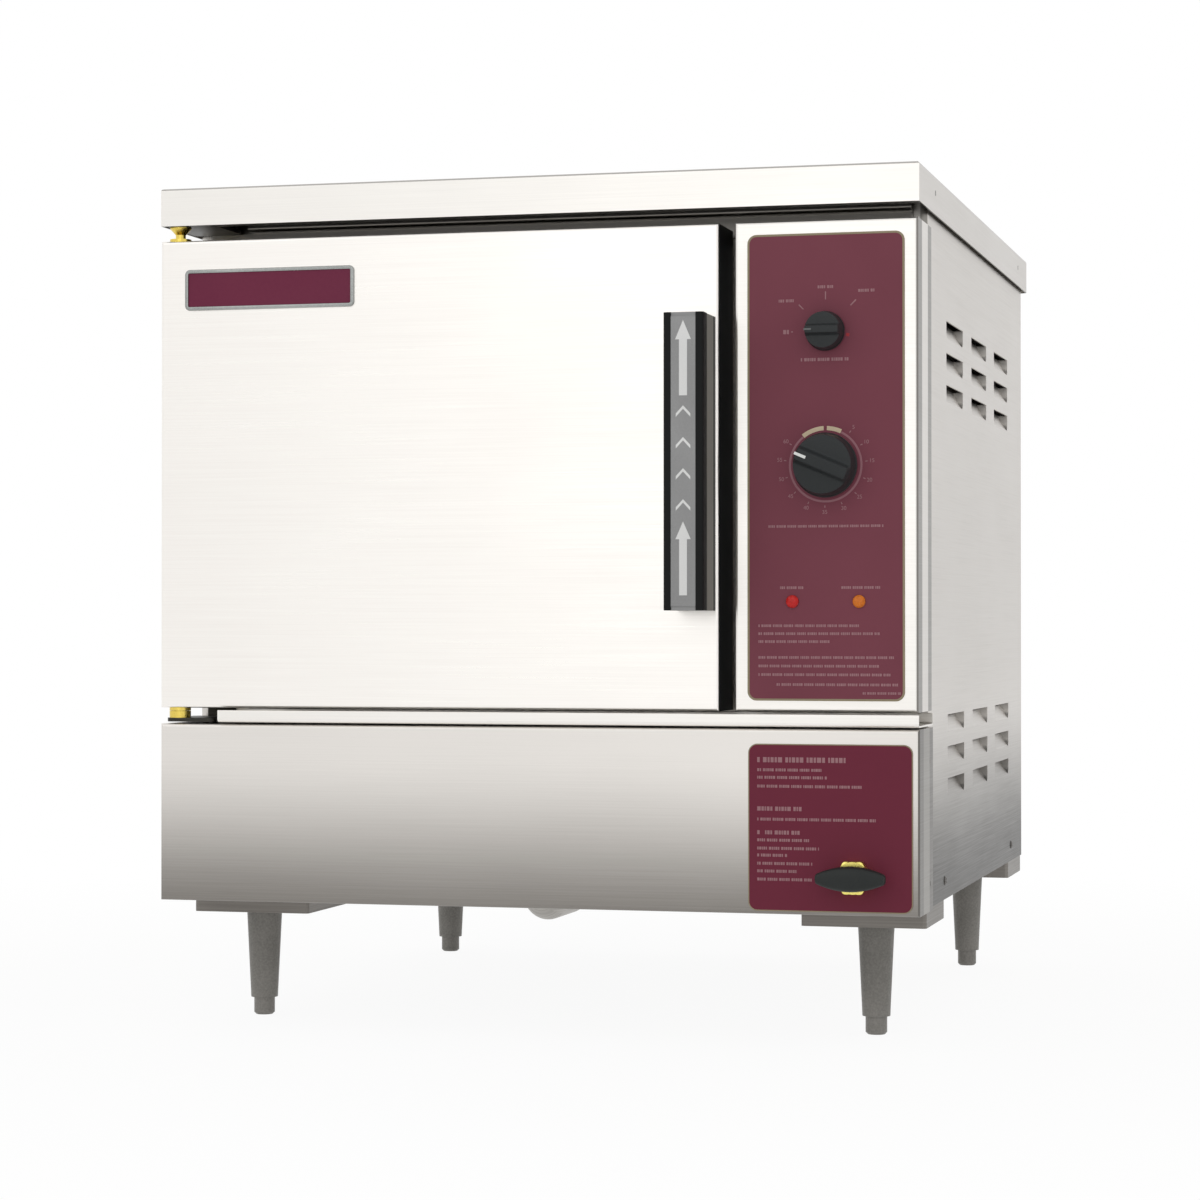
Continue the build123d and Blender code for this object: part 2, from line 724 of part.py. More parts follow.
with BuildPart() as latch_hook:
    with BuildSketch(side_plane(latch_x - hook_thickness / 2)):
        with Locations((pivot_y, latch_z)):
            Circle(hook_bar)
        nose_end = frame_back + nose_reach
        with Locations(((pivot_y + nose_end) / 2, latch_z)):
            Rectangle(nose_end - pivot_y, hook_bar)
        with Locations((nose_end - hook_nose / 2, latch_z + hook_bar / 2)):
            Rectangle(hook_nose, strike_hole_above - hook_bar / 2 - free_clearance,
                      align=(Align.CENTER, Align.MIN))
        fork_start = tab_end - fork_overlap
        for side in (-1, 1):
            with Locations(((fork_start + pivot_y) / 2, latch_z + side * (hook_gap + fork_wall / 2))):
                Rectangle(pivot_y - fork_start, fork_wall)
        with Locations((fork_start, latch_z)):
            Rectangle(tab_height + 2 * fork_overlap, 2 * hook_gap, mode=Mode.SUBTRACT)
        with Locations((pivot_y, latch_z)):
            Circle(pivot_radius + run_clearance, mode=Mode.SUBTRACT)
    extrude(amount=hook_thickness)
save(latch_hook, "latch_hook")

with BuildPart() as latch_bracket:
    cheek_gap = hook_thickness / 2 + free_clearance
    for side in (-1, 1):
        near = latch_x + side * cheek_gap
        far = latch_x + side * (cheek_gap + frame_sheet)
        block(min(near, far), max(near, far), pivot_y - cheek_front, door_inner - liner_sheet,
              latch_z - cheek_rise, latch_z + cheek_rise)
    axle(pivot_radius, latch_x - cheek_gap - frame_sheet, latch_x + cheek_gap + frame_sheet,
         pivot_y, latch_z)
save(latch_bracket, "latch_bracket")

with BuildPart() as latch_strike:
    with BuildSketch(front_plane(frame_front)):
        low = latch_z - strike_hole_below
        high = latch_z + strike_hole_above
        with Locations((latch_x, (low + high) / 2)):
            RectangleRounded(strike_hole_width + 2 * strike_margin, high - low + 2 * strike_margin,
                             strike_margin / 2)
            Rectangle(strike_hole_width, high - low, mode=Mode.SUBTRACT)
    extrude(amount=strike_thickness)
save(latch_strike, "latch_strike")

# Door switch on a wedge bracket at the top of the gap beside the door
switch_height = 10.0
switch_depth = 50.0
switch_gap = 1.0

with BuildPart() as door_switch:
    with BuildSketch(Plane.XY.offset(door_top - switch_height)):
        with BuildLine():
            Polyline((control_left, frame_front), (control_left, frame_front - switch_depth),
                     (door_right + switch_gap, frame_front), (control_left, frame_front))
        make_face()
    extrude(amount=switch_height)
save(door_switch, "door_switch")

# Control knobs on their switches: each knob's sleeve runs on a shaft that is part of the knob's body
knob_gap = 0.8
knob_face = door_front - overlay_skin - knob_gap
selector_knob_radius = 15.0
selector_knob_depth = 19.0
timer_knob_radius = 24.5
timer_knob_depth = 22.0
knob_skirt = 4.0
knob_shoulder = 2.5
grip_bar_width = 8.0
knob_crown_share = 0.55
bar_inset = 0.6
shaft_length = 30.0


def knob(radius, depth, level, pointer_turn):
    """Round skirt, a lower crown and a bar across it, turned to its pointer, on a shaft."""
    disc(radius, knob_face - knob_skirt, knob_face, control_middle, level)
    crown = knob_face - depth * knob_crown_share
    disc(radius - knob_shoulder, crown, knob_face - knob_skirt, control_middle, level)
    with BuildSketch(front_plane(crown)) as bar:
        with Locations((control_middle, level)):
            SlotOverall(2 * (radius - knob_shoulder - bar_inset), grip_bar_width, rotation=pointer_turn)
    extrude(bar.sketch, amount=depth * (1 - knob_crown_share))
    disc(shaft_radius, knob_face, knob_face + shaft_length, control_middle, level)


with BuildPart() as selector_knob:
    knob(selector_knob_radius, selector_knob_depth, selector_z, 0.0)
save(selector_knob, "selector_knob")

timer_pointer = 157.0
with BuildPart() as timer_knob:
    knob(timer_knob_radius, timer_knob_depth, timer_z, timer_pointer)
save(timer_knob, "timer_knob")

selector_body = 44.0
selector_depth = 40.0
timer_body_radius = 29.0
timer_depth = 46.0
selector_corner = 4.0

with BuildPart() as selector_switch:
    block(control_middle - selector_body / 2, control_middle + selector_body / 2, panel_face,
          panel_face + selector_depth, selector_z - selector_body / 2, selector_z + selector_body / 2)
    fillet(selector_switch.edges().filter_by(Axis.Y), selector_corner)
    disc(shaft_radius + run_clearance, panel_face, panel_face + selector_depth, control_middle,
         selector_z, mode=Mode.SUBTRACT)
save(selector_switch, "selector_switch")

with BuildPart() as timer_mechanism:
    disc(timer_body_radius, panel_face, panel_face + timer_depth, control_middle, timer_z)
    disc(shaft_radius + run_clearance, panel_face, panel_face + timer_depth, control_middle, timer_z,
         mode=Mode.SUBTRACT)
save(timer_mechanism, "timer_mechanism")

lamp_proud = 2.5
lamp_round = 1.5
lamp_collar = 1.5
lamp_length = 26.0

with BuildPart() as signal_lamps:
    for side in (-1, 1):
        x = control_middle + side * lamp_spacing / 2
        disc(lamp_radius, door_front - overlay_skin - lamp_proud, panel_face, x, lamp_z)
        disc(lamp_radius + lamp_collar, panel_face, panel_face + lamp_length, x, lamp_z)
    fillet(signal_lamps.faces().group_by(Axis.Y)[0].edges(), lamp_round)
save(signal_lamps, "signal_lamps")

# Cooking cavity: a coved liner with a front flange, insulation, racks for five pans, fan baffle
liner_wall = 1.2
liner_flange = 12.0
liner_cove = 12.0
insulation = 15.0
steam_pipe_radius = 15.0
steam_from_side = 80.0
steam_from_back = 298.5
steam_x = cavity_right - steam_from_side
steam_y = cavity_back - steam_from_back
fan_shaft_radius = 4.0
fan_seal_radius = 9.0
fan_y = (frame_back + cavity_back) / 2

with BuildPart() as cavity_liner:
    block(cavity_left - liner_wall, cavity_right + liner_wall, frame_back, cavity_back + liner_wall,
          cavity_floor - liner_wall, cavity_roof + liner_wall)
    fillet(cavity_liner.faces().sort_by(Axis.Y)[-1].edges(), liner_cove)
    offset(amount=-liner_wall, openings=cavity_liner.faces().sort_by(Axis.Y)[0])
    with BuildSketch(front_plane(frame_back)):
        with Locations((cavity_x, cavity_z)):
            RectangleRounded(cavity_width + 2 * liner_flange, cavity_height + 2 * liner_flange,
                             cavity_corner)
            Rectangle(cavity_width, cavity_height, mode=Mode.SUBTRACT)
    extrude(amount=-liner_wall)
    post(drain_radius, cavity_floor - liner_wall, cavity_floor, drain_x, drain_y, mode=Mode.SUBTRACT)
    post(steam_pipe_radius, cavity_floor - liner_wall, cavity_floor, steam_x, steam_y,
         mode=Mode.SUBTRACT)
    axle(fan_seal_radius, cavity_right, cavity_right + liner_wall, fan_y, cavity_z, mode=Mode.SUBTRACT)
save(cavity_liner, "cavity_liner")

with BuildPart() as cavity_insulation:
    front = frame_back + frame_flange
    reach = liner_wall + insulation
    block(cavity_left - reach, cavity_right + reach, front, cavity_back + reach,
          cavity_floor - reach, cavity_roof + reach)
    block(cavity_left - liner_wall, cavity_right + liner_wall, front, cavity_back + liner_wall,
          cavity_floor - liner_wall, cavity_roof + liner_wall, mode=Mode.SUBTRACT)
    post(drain_radius, cavity_floor - reach, cavity_floor, drain_x, drain_y, mode=Mode.SUBTRACT)
    post(steam_pipe_radius, cavity_floor - reach, cavity_floor, steam_x, steam_y, mode=Mode.SUBTRACT)
    axle(fan_seal_radius, cavity_right, cavity_right + reach, fan_y, cavity_z, mode=Mode.SUBTRACT)
save(cavity_insulation, "cavity_insulation")

pan_count = 5
rack_upright = 6.0
rack_wall = 1.5
rack_ledge = 10.0
rack_upright_depth = 20.0
rack_end_gap = 30.0
rack_end_level = 14.0
baffle_standoff = 32.0
baffle_x = cavity_right - baffle_standoff
rack_front = frame_back + rack_end_gap
rack_back = cavity_back - rack_end_gap
rack_bottom = cavity_floor + rack_end_level
rack_top = cavity_roof - rack_end_level
pan_pitch = (rack_top - rack_bottom) / pan_count


def rack(wall, hand):
    """One pan rack: two uprights against a wall and a ledge for each pan."""
    near = wall + hand * rack_upright
    tip = near + hand * rack_ledge
    for start in (rack_front, (rack_front + rack_back - rack_upright_depth) / 2,
                  rack_back - rack_upright_depth):
        block(min(wall, near), max(wall, near), start, start + rack_upright_depth, rack_bottom, rack_top)
    for number in range(pan_count):
        level = rack_bottom + (number + 0.5) * pan_pitch
        block(min(near, tip), max(near, tip), rack_front, rack_back, level, level + rack_wall)
        low = level - rack_ledge / 2
        skin = near - hand * rack_wall
        block(min(near, skin), max(near, skin), rack_front, rack_back, low, level + rack_wall)


with BuildPart() as pan_racks:
    rack(cavity_left, 1)
    rack(baffle_x, -1)
save(pan_racks, "pan_racks")

# The baffle is a tray over the fan with a ring of intake slots round its centre
baffle_margin = 40.0
baffle_sheet = 1.0
baffle_bend = 6.0
grille_slots = 12
grille_inner = 22.0
grille_outer = 62.0
grille_slot = 7.0
baffle_half_depth = (cavity_back - frame_back) / 2 - baffle_margin
baffle_half_height = cavity_height / 2 - rack_end_level

with BuildPart() as fan_baffle:
    block(baffle_x, cavity_right, fan_y - baffle_half_depth, fan_y + baffle_half_depth,
          cavity_z - baffle_half_height, cavity_z + baffle_half_height)
    fillet(fan_baffle.faces().sort_by(Axis.X)[0].edges(), baffle_bend)
    offset(amount=-baffle_sheet, openings=fan_baffle.faces().sort_by(Axis.X)[-1])
    with BuildSketch(side_plane(baffle_x)):
        with Locations((fan_y, cavity_z)):
            with PolarLocations((grille_inner + grille_outer) / 2, grille_slots):
                SlotOverall(grille_outer - grille_inner, grille_slot)
    extrude(amount=baffle_sheet, mode=Mode.SUBTRACT)
save(fan_baffle, "fan_baffle")

# Convection fan: a backplate with radial blades on a shaft that runs in the motor
fan_radius = 78.0
fan_hub_radius = 14.0
fan_hub_length = 18.0
fan_plate = 1.5
fan_blade_count = 8
fan_blade_width = 18.0
fan_wall_gap = 6.0
motor_radius = 42.0
motor_length = 85.0
motor_flange = 4.0
motor_flange_half = 46.0
fan_plate_x = cavity_right - fan_wall_gap
motor_x = cavity_right + liner_wall + insulation

with BuildPart() as fan_wheel:
    axle(fan_radius, fan_plate_x - fan_plate, fan_plate_x, fan_y, cavity_z)
    axle(fan_hub_radius, fan_plate_x - fan_hub_length, fan_plate_x, fan_y, cavity_z)
    axle(fan_shaft_radius, fan_plate_x - fan_hub_length, motor_x + motor_length / 2, fan_y, cavity_z)
    with BuildSketch(side_plane(fan_plate_x - fan_plate)):
        with Locations((fan_y, cavity_z)):
            with PolarLocations((fan_radius + fan_hub_radius) / 2, fan_blade_count):
                Rectangle(fan_radius - fan_hub_radius, fan_plate)
    extrude(amount=-fan_blade_width)
save(fan_wheel, "fan_wheel")

with BuildPart() as fan_motor:
    axle(motor_radius, motor_x + motor_flange, motor_x + motor_length, fan_y, cavity_z)
    block(motor_x, motor_x + motor_flange, fan_y - motor_flange_half, fan_y + motor_flange_half,
          cavity_z - motor_flange_half, cavity_z + motor_flange_half)
    axle(fan_shaft_radius + run_clearance, motor_x, motor_x + motor_length, fan_y, cavity_z,
         mode=Mode.SUBTRACT)
save(fan_motor, "fan_motor")

# Steam generator under the cavity: a welded tank, its lid, three hairpin heaters, level probes
tank_width = 210.0
tank_depth = 250.0
tank_past_cavity = 10.0
tank_behind_steam = 100.0
tank_right = cavity_right + tank_past_cavity
tank_left = tank_right - tank_width
tank_back = steam_y + tank_behind_steam
tank_front = tank_back - tank_depth
tank_foot = 10.0
tank_wall = 1.5
tank_corner = 12.0
tank_below_cavity = 40.0
tank_bottom = pan_top + tank_foot
tank_top = cavity_floor - tank_below_cavity
lid_thickness = 2.0
lid_rim = 8.0
lid_top = tank_top + lid_thickness
outlet_pipe_radius = 8.0
outlet_pipe_wall = 1.0
valve_from_tank_front = 30.0
valve_y = tank_front + valve_from_tank_front
valve_half_length = 16.0
tank_middle_x = (tank_left + tank_right) / 2

with BuildPart() as generator_tank:
    block(tank_left, tank_right, tank_front, tank_back, tank_bottom, tank_top)
    fillet(generator_tank.edges().filter_by(Axis.Z), tank_corner)
    offset(amount=-tank_wall, openings=generator_tank.faces().sort_by(Axis.Z)[-1])
    for x in (tank_left + 2 * tank_corner, tank_right - 2 * tank_corner):
        for y in (tank_front + 2 * tank_corner, tank_back - 2 * tank_corner):
            post(tank_foot / 2, pan_top, tank_bottom, x, y)
    axle(outlet_pipe_radius, tank_right - tank_wall, tank_right, valve_y, valve_z, mode=Mode.SUBTRACT)
save(generator_tank, "generator_tank")

heater_count = 3
heater_radius = 4.0
heater_pitch = 34.0
heater_spread = 26.0
heater_depth = 70.0
heaters_from_front = 60.0
heater_y = tank_front + heaters_from_front
terminal_rise = 12.0
probe_lengths = (35.0, 60.0, 85.0)
probe_radius = 2.5
probe_pitch = 25.0
probe_cap_radius = 7.0
probes_from_back = 45.0
probe_y = tank_back - probes_from_back

with BuildPart() as generator_lid:
    block(tank_left - lid_rim, tank_right + lid_rim, tank_front - lid_rim, tank_back + lid_rim,
          tank_top, lid_top)
    fillet(generator_lid.edges().filter_by(Axis.Z), tank_corner)
    post(steam_pipe_radius, tank_top, lid_top, steam_x, steam_y, mode=Mode.SUBTRACT)
    for number in range(heater_count):
        x = tank_middle_x + (number - (heater_count - 1) / 2) * heater_pitch
        for side in (-1, 1):
            post(heater_radius, tank_top, lid_top, x, heater_y + side * heater_spread / 2,
                 mode=Mode.SUBTRACT)
    for number in range(len(probe_lengths)):
        x = tank_middle_x + (number - (len(probe_lengths) - 1) / 2) * probe_pitch
        post(probe_radius, tank_top, lid_top, x, probe_y, mode=Mode.SUBTRACT)
save(generator_lid, "generator_lid")

with BuildPart() as heating_elements:
    for number in range(heater_count):
        x = tank_middle_x + (number - (heater_count - 1) / 2) * heater_pitch
        near = heater_y - heater_spread / 2
        far = heater_y + heater_spread / 2
        low = lid_top - heater_depth
        high = lid_top + terminal_rise
        with BuildLine() as hairpin:
            Line((x, near, high), (x, near, low))
            ThreePointArc((x, near, low), (x, heater_y, low - heater_spread / 2), (x, far, low))
            Line((x, far, low), (x, far, high))
        with BuildSketch(Plane(origin=(x, near, high), z_dir=(0, 0, -1))):
            Circle(heater_radius)
        sweep(path=hairpin.line)
save(heating_elements, "heating_elements")

with BuildPart() as level_probes:
    for number, length in enumerate(probe_lengths):
        x = tank_middle_x + (number - (len(probe_lengths) - 1) / 2) * probe_pitch
        post(probe_radius, lid_top - length, lid_top, x, probe_y)
        post(probe_cap_radius, lid_top, lid_top + terminal_rise, x, probe_y)
save(level_probes, "level_probes")

with BuildPart() as steam_pipe:
    post(steam_pipe_radius, tank_top, cavity_floor, steam_x, steam_y)
    post(steam_pipe_radius - drain_wall, tank_top, cavity_floor, steam_x, steam_y, mode=Mode.SUBTRACT)
save(steam_pipe, "steam_pipe")

# Water supply: an inlet valve on the rear panel and a tube from it to the tank's lid
inlet_nut_radius = 17.0
inlet_nut = 9.0
inlet_body = 40.0
fill_radius = 5.0
fill_wall = 0.8
fill_from_side = 30.0
fill_from_back = 20.0
fill_x = tank_right - fill_from_side
fill_y = tank_back - fill_from_back
fill_headroom = 1.0
fill_rise = tank_below_cavity - lid_thickness - liner_wall - insulation - fill_radius - fill_headroom
fill_bend = fill_rise - fill_headroom
inlet_end = cover_rear + rear_fitting_reach
coil_radius = 14.0
coil_height = 30.0

with BuildPart() as water_inlet_valve:
    disc(inlet_radius, rear_inner - inlet_nut, inlet_end, fittings_x, inlet_z)
    with BuildSketch(front_plane(cabinet_rear)):
        with Locations((fittings_x, inlet_z)):
            RegularPolygon(inlet_nut_radius, 6)
    extrude(amount=-inlet_nut)
    disc(inlet_radius / 2, cabinet_rear, inlet_end, fittings_x, inlet_z, mode=Mode.SUBTRACT)
    block(fittings_x - inlet_nut_radius, fittings_x + inlet_nut_radius, rear_inner - inlet_nut - inlet_body,
          rear_inner, inlet_z - inlet_nut_radius, inlet_z + inlet_nut_radius)
    post(coil_radius, inlet_z + inlet_nut_radius, inlet_z + inlet_nut_radius + coil_height, fittings_x,
         rear_inner - inlet_nut - inlet_body / 2)
save(water_inlet_valve, "water_inlet_valve")

with BuildPart() as fill_tube:
    tube_along([(fittings_x - inlet_nut_radius, rear_inner - inlet_nut - inlet_body / 2, inlet_z),
                (fill_x, rear_inner - inlet_nut - inlet_body / 2, inlet_z),
                (fill_x, rear_inner - inlet_nut - inlet_body / 2, lid_top + fill_rise),
                (fill_x, fill_y, lid_top + fill_rise),
                (fill_x, fill_y, lid_top)], fill_bend, fill_radius, fill_wall)
save(fill_tube, "fill_tube")

# Drain side: a ball valve between the tank and the drain, turned from the front by a long stem
ball_radius = 10.0
ball_bore = 5.5
valve_body_radius = 15.0
valve_neck_radius = 9.0
valve_neck = 8.0
drain_elbow_turn = 10.0
outlet_lead = 12.0
valve_end_x = valve_x + valve_half_length
outlet_turn_x = valve_end_x + outlet_lead
stem_socket = 2.0
neck_front = valve_y - valve_body_radius - valve_neck
handle_stem_out = 16.0
stem_end = door_front - handle_stem_out

with BuildPart() as drain_valve_body:
    axle(valve_body_radius, valve_x - valve_half_length, valve_end_x, valve_y, valve_z)
    disc(valve_neck_radius, neck_front, valve_y, valve_x, valve_z)
    with Locations((valve_x, valve_y, valve_z)):
        Sphere(ball_radius + free_clearance, mode=Mode.SUBTRACT)
    axle(ball_bore, valve_x - valve_half_length, valve_end_x, valve_y, valve_z, mode=Mode.SUBTRACT)
    disc(stem_radius + run_clearance, neck_front, valve_y, valve_x, valve_z, mode=Mode.SUBTRACT)
save(drain_valve_body, "drain_valve_body")

with BuildPart() as drain_valve_stem:
    with Locations((valve_x, valve_y, valve_z)):
        Sphere(ball_radius)
    post(ball_bore, valve_z - ball_radius, valve_z + ball_radius, valve_x, valve_y, mode=Mode.SUBTRACT)
    disc(stem_radius, stem_end, valve_y - ball_bore - stem_socket, valve_x, valve_z)
save(drain_valve_stem, "drain_valve_stem")

with BuildPart() as drain_tubes:
    tube_along([(tank_right - tank_wall, valve_y, valve_z),
                (valve_x - valve_half_length, valve_y, valve_z)],
               drain_elbow_turn, outlet_pipe_radius, outlet_pipe_wall)
    tube_along([(valve_end_x, valve_y, valve_z), (outlet_turn_x, valve_y, valve_z),
                (outlet_turn_x, drain_y, valve_z), (drain_x + drain_radius, drain_y, valve_z)],
               drain_elbow_turn, outlet_pipe_radius, outlet_pipe_wall)
save(drain_tubes, "drain_tubes")

gland_nut_flat = 24.4
gland_nut_proud = 9.0
gland_flange = 12.0

with BuildPart() as stem_gland_nut:
    with BuildSketch(front_plane(door_front - overlay_skin)):
        with Locations((valve_x, valve_z)):
            RegularPolygon(gland_nut_flat / 2, 6, major_radius=False)
    extrude(amount=gland_nut_proud)
    disc(stem_hole, door_front - overlay_skin, panel_face + gland_nut_proud, valve_x, valve_z)
    disc(gland_flange, panel_face, panel_face + plate_sheet, valve_x, valve_z)
    disc(stem_radius + run_clearance, door_front - overlay_skin - gland_nut_proud,
         panel_face + gland_nut_proud, valve_x, valve_z, mode=Mode.SUBTRACT)
save(stem_gland_nut, "stem_gland_nut")

# Lens-shaped handle of the drain valve
valve_handle_length = 53.0
valve_handle_height = 19.0
valve_handle_depth = 16.0
valve_handle_gap = 1.0
valve_handle_back = door_front - overlay_skin - gland_nut_proud - valve_handle_gap
valve_tip = 3.5
valve_edge = 2.5

with BuildPart() as valve_handle:
    with BuildSketch(front_plane(valve_handle_back)):
        with BuildLine():
            half = valve_handle_length / 2
            crest = valve_handle_height / 2
            left = valve_x - half
            right = valve_x + half
            ThreePointArc((left, valve_z + valve_tip), (valve_x, valve_z + crest),
                          (right, valve_z + valve_tip))
            Line((right, valve_z + valve_tip), (right, valve_z - valve_tip))
            ThreePointArc((right, valve_z - valve_tip), (valve_x, valve_z - crest),
                          (left, valve_z - valve_tip))
            Line((left, valve_z - valve_tip), (left, valve_z + valve_tip))
        make_face()
    extrude(amount=valve_handle_depth)
    fillet(valve_handle.faces().sort_by(Axis.Y)[0].edges(), valve_edge)
    disc(stem_radius, stem_end, valve_handle_back, valve_x, valve_z, mode=Mode.SUBTRACT)
save(valve_handle, "valve_handle")

# Cavity drain: straight down through the floor, then an elbow towards the back
drain_below = 38.0
drain_turn = 22.0
drain_run = 90.0

with BuildPart() as cavity_drain:
    tube_along([(drain_x, drain_y, cavity_floor), (drain_x, drain_y, body_bottom - drain_below),
                (drain_x, drain_y + drain_run, body_bottom - drain_below)],
               drain_turn, drain_radius, drain_wall)
    axle(outlet_pipe_radius, drain_x + drain_radius - 2 * drain_wall, drain_x + drain_radius, drain_y,
         valve_z, mode=Mode.SUBTRACT)
save(cavity_drain, "cavity_drain")

# Electrics in the right compartment, on a plate that stands on the floor pan
plate_from_flange = 18.0
plate_from_front = 150.0
plate_depth = 270.0
plate_x = frame_half - plate_from_flange
plate_front = door_front + plate_from_front
plate_back = plate_front + plate_depth
plate_bottom_gap = 120.0
plate_height = 330.0
board_width = 110.0
board_height = 150.0
board_gap = 6.0
board_skin = 1.6
chip_depth = 14.0
chip_length = 50.0
chip_start = 38.0
chip_pitch = 42.0
standoff_inset = 11.0
contactor_width = 60.0
contactor_height = 80.0
contactor_depth = 60.0
contactor_step = 24.0
terminal_height = 20.0
contactor_from_edge = 60.0
board_from_edge = 75.0
board_rise = 230.0
plate_low = pan_top + plate_bottom_gap
plate_inner = plate_x - frame_sheet
contactor_y = plate_front + contactor_from_edge
board_y = plate_back - board_from_edge
contactor_z = plate_low + contactor_from_edge
board_z = plate_low + board_rise
leg_strip = 30.0

with BuildPart() as component_plate:
    block(plate_inner, plate_x, plate_front, plate_back, plate_low, plate_low + plate_height)
    for y in (plate_front, plate_back - leg_strip):
        block(plate_inner, plate_x, y, y + leg_strip, pan_top, plate_low)
        block(plate_x, frame_half - frame_sheet, y, y + leg_strip, pan_top, pan_top + frame_sheet)
save(component_plate, "component_plate")

with BuildPart() as contactor:
    front = contactor_y - contactor_width / 2
    rear = contactor_y + contactor_width / 2
    face = plate_inner - contactor_depth
    block(face, plate_inner, front, rear, contactor_z - contactor_height / 2,
          contactor_z + contactor_height / 2)
    for side in (-1, 1):
        edge = contactor_z + side * contactor_height / 2
        step = edge - side * terminal_height
        block(face, face + contactor_step, front, rear, min(edge, step), max(edge, step),
              mode=Mode.SUBTRACT)
save(contactor, "contactor")

with BuildPart() as control_board:
    board_x = plate_inner - board_gap
    board_face = board_x - board_skin
    block(board_face, board_x, board_y - board_width / 2, board_y + board_width / 2,
          board_z - board_height / 2, board_z + board_height / 2)
    for side in (-1, 1):
        for end in (-1, 1):
            axle(board_gap / 2, board_x, plate_inner, board_y + side * (board_width / 2 - standoff_inset),
                 board_z + end * (board_height / 2 - standoff_inset))
    for row in (-1, 0, 1):
        middle = board_z + row * chip_pitch
        block(board_face - chip_depth, board_face, board_y - chip_start,
              board_y - chip_start + chip_length, middle - chip_depth, middle + chip_depth)
save(control_board, "control_board")

gland_nut = 7.0
gland_body = 18.0
gland_bore = 8.0
gland_nut_radius = 17.5

with BuildPart() as cable_gland:
    with BuildSketch(front_plane(cabinet_rear)):
        with Locations((fittings_x, gland_z)):
            RegularPolygon(gland_nut_radius, 6)
    extrude(amount=-gland_nut)
    disc(gland_radius, rear_inner - gland_nut, cabinet_rear + gland_body, fittings_x, gland_z)
    with BuildSketch(front_plane(rear_inner)):
        with Locations((fittings_x, gland_z)):
            RegularPolygon(gland_nut_radius, 6)
    extrude(amount=gland_nut)
    disc(gland_bore, rear_inner - gland_nut, cabinet_rear + gland_body, fittings_x, gland_z,
         mode=Mode.SUBTRACT)
save(cable_gland, "cable_gland")

# Stand: four corner brackets, tapered tubular legs and screw-in feet
bracket_width = 98.0
bracket_depth = 95.0
front_bracket_from_face = 62.0
rear_bracket_from_face = 657.0
front_bracket_start = door_front + front_bracket_from_face
rear_bracket_end = door_front + rear_bracket_from_face
bracket_corner = 3.0
bracket_sheet = 2.5
leg_inset = 45.5
leg_from_edge = 40.0
leg_top_radius = 14.5
leg_foot_radius = 11.0
stud_radius = 6.0
foot_radius = 8.5
foot_spindle_radius = 6.5
foot_travel = 25.0
foot_engaged = 9.0
foot_spindle = foot_travel + foot_engaged
foot_chamfer = 1.7
leg_x = side_face - leg_inset
front_leg_y = front_bracket_start + leg_from_edge
rear_leg_y = rear_bracket_end - leg_from_edge
leg_places = [(-leg_x, front_leg_y), (leg_x, front_leg_y), (-leg_x, rear_leg_y), (leg_x, rear_leg_y)]

with BuildPart() as leg_brackets:
    for x, y in leg_places:
        outer = math.copysign(side_face, x)
        inner = math.copysign(side_face - bracket_width, x)
        start = front_bracket_start if y == front_leg_y else rear_bracket_end - bracket_depth
        block(min(outer, inner), max(outer, inner), start, start + bracket_depth, leg_top, body_bottom)
    fillet(leg_brackets.edges().filter_by(Axis.Z), bracket_corner)
    for x, y in leg_places:
        outer = math.copysign(side_face - bracket_sheet, x)
        inner = math.copysign(side_face - bracket_width + bracket_sheet, x)
        start = front_bracket_start if y == front_leg_y else rear_bracket_end - bracket_depth
        block(min(outer, inner), max(outer, inner), start + bracket_sheet,
              start + bracket_depth - bracket_sheet, leg_top + bracket_sheet, body_bottom,
              mode=Mode.SUBTRACT)
        post(2 * stud_radius, leg_top + bracket_sheet, body_bottom, x, y)
        post(stud_radius, leg_top, body_bottom, x, y, mode=Mode.SUBTRACT)
save(leg_brackets, "leg_brackets")

with BuildPart() as legs:
    for x, y in leg_places:
        with BuildSketch(Plane.XZ.offset(-y)):
            with BuildLine():
                bore = foot_spindle_radius + run_clearance
                crown = foot_height + foot_spindle + free_clearance
                Polyline((x, crown), (x + bore, crown), (x + bore, foot_height),
                         (x + leg_foot_radius, foot_height), (x + leg_top_radius, leg_top),
                         (x + stud_radius, leg_top), (x + stud_radius, body_bottom), (x, body_bottom),
                         (x, crown))
            make_face()
        revolve(axis=Axis((x, y, 0), (0, 0, 1)))
save(legs, "legs")

foot_names = ("foot_front_left", "foot_front_right", "foot_rear_left", "foot_rear_right")
for foot_name, (x, y) in zip(foot_names, leg_places):
    with BuildPart() as foot:
        post(foot_radius, 0, foot_height - free_clearance, x, y)
        chamfer(foot.faces().sort_by(Axis.Z)[0].edges(), foot_chamfer)
        post(foot_spindle_radius, foot_height - free_clearance, foot_height + foot_spindle, x, y)
    save(foot, foot_name)

# Screws of the cover, the front box and the side panels
screw_head_radius = 3.5
screw_head = 1.6
screw_length = 9.0

with BuildPart() as panel_screws:
    for side in (-1, 1):
        places = [(y, cover_screw_z) for y in cover_screw_places]
        places += [(door_front + face_screw_depth, body_bottom + rise)
                   for rise in (face_screw_low, face_screw_high)]
        for y, z in places:
            outer = side * half_width
            inner = side * (half_width - screw_length)
            axle(cover_screw_radius, min(outer, inner), max(outer, inner), y, z)
        for y in side_screw_places:
            z = body_bottom + side_screw_rise
            shank = side * (side_face - screw_length)
            neck = side * side_face
            head = side * (side_face + screw_head)
            axle(side_screw_radius, min(shank, neck), max(shank, neck), y, z)
            axle(screw_head_radius, min(neck, head), max(neck, head), y, z)
save(panel_screws, "panel_screws")
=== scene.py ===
import math

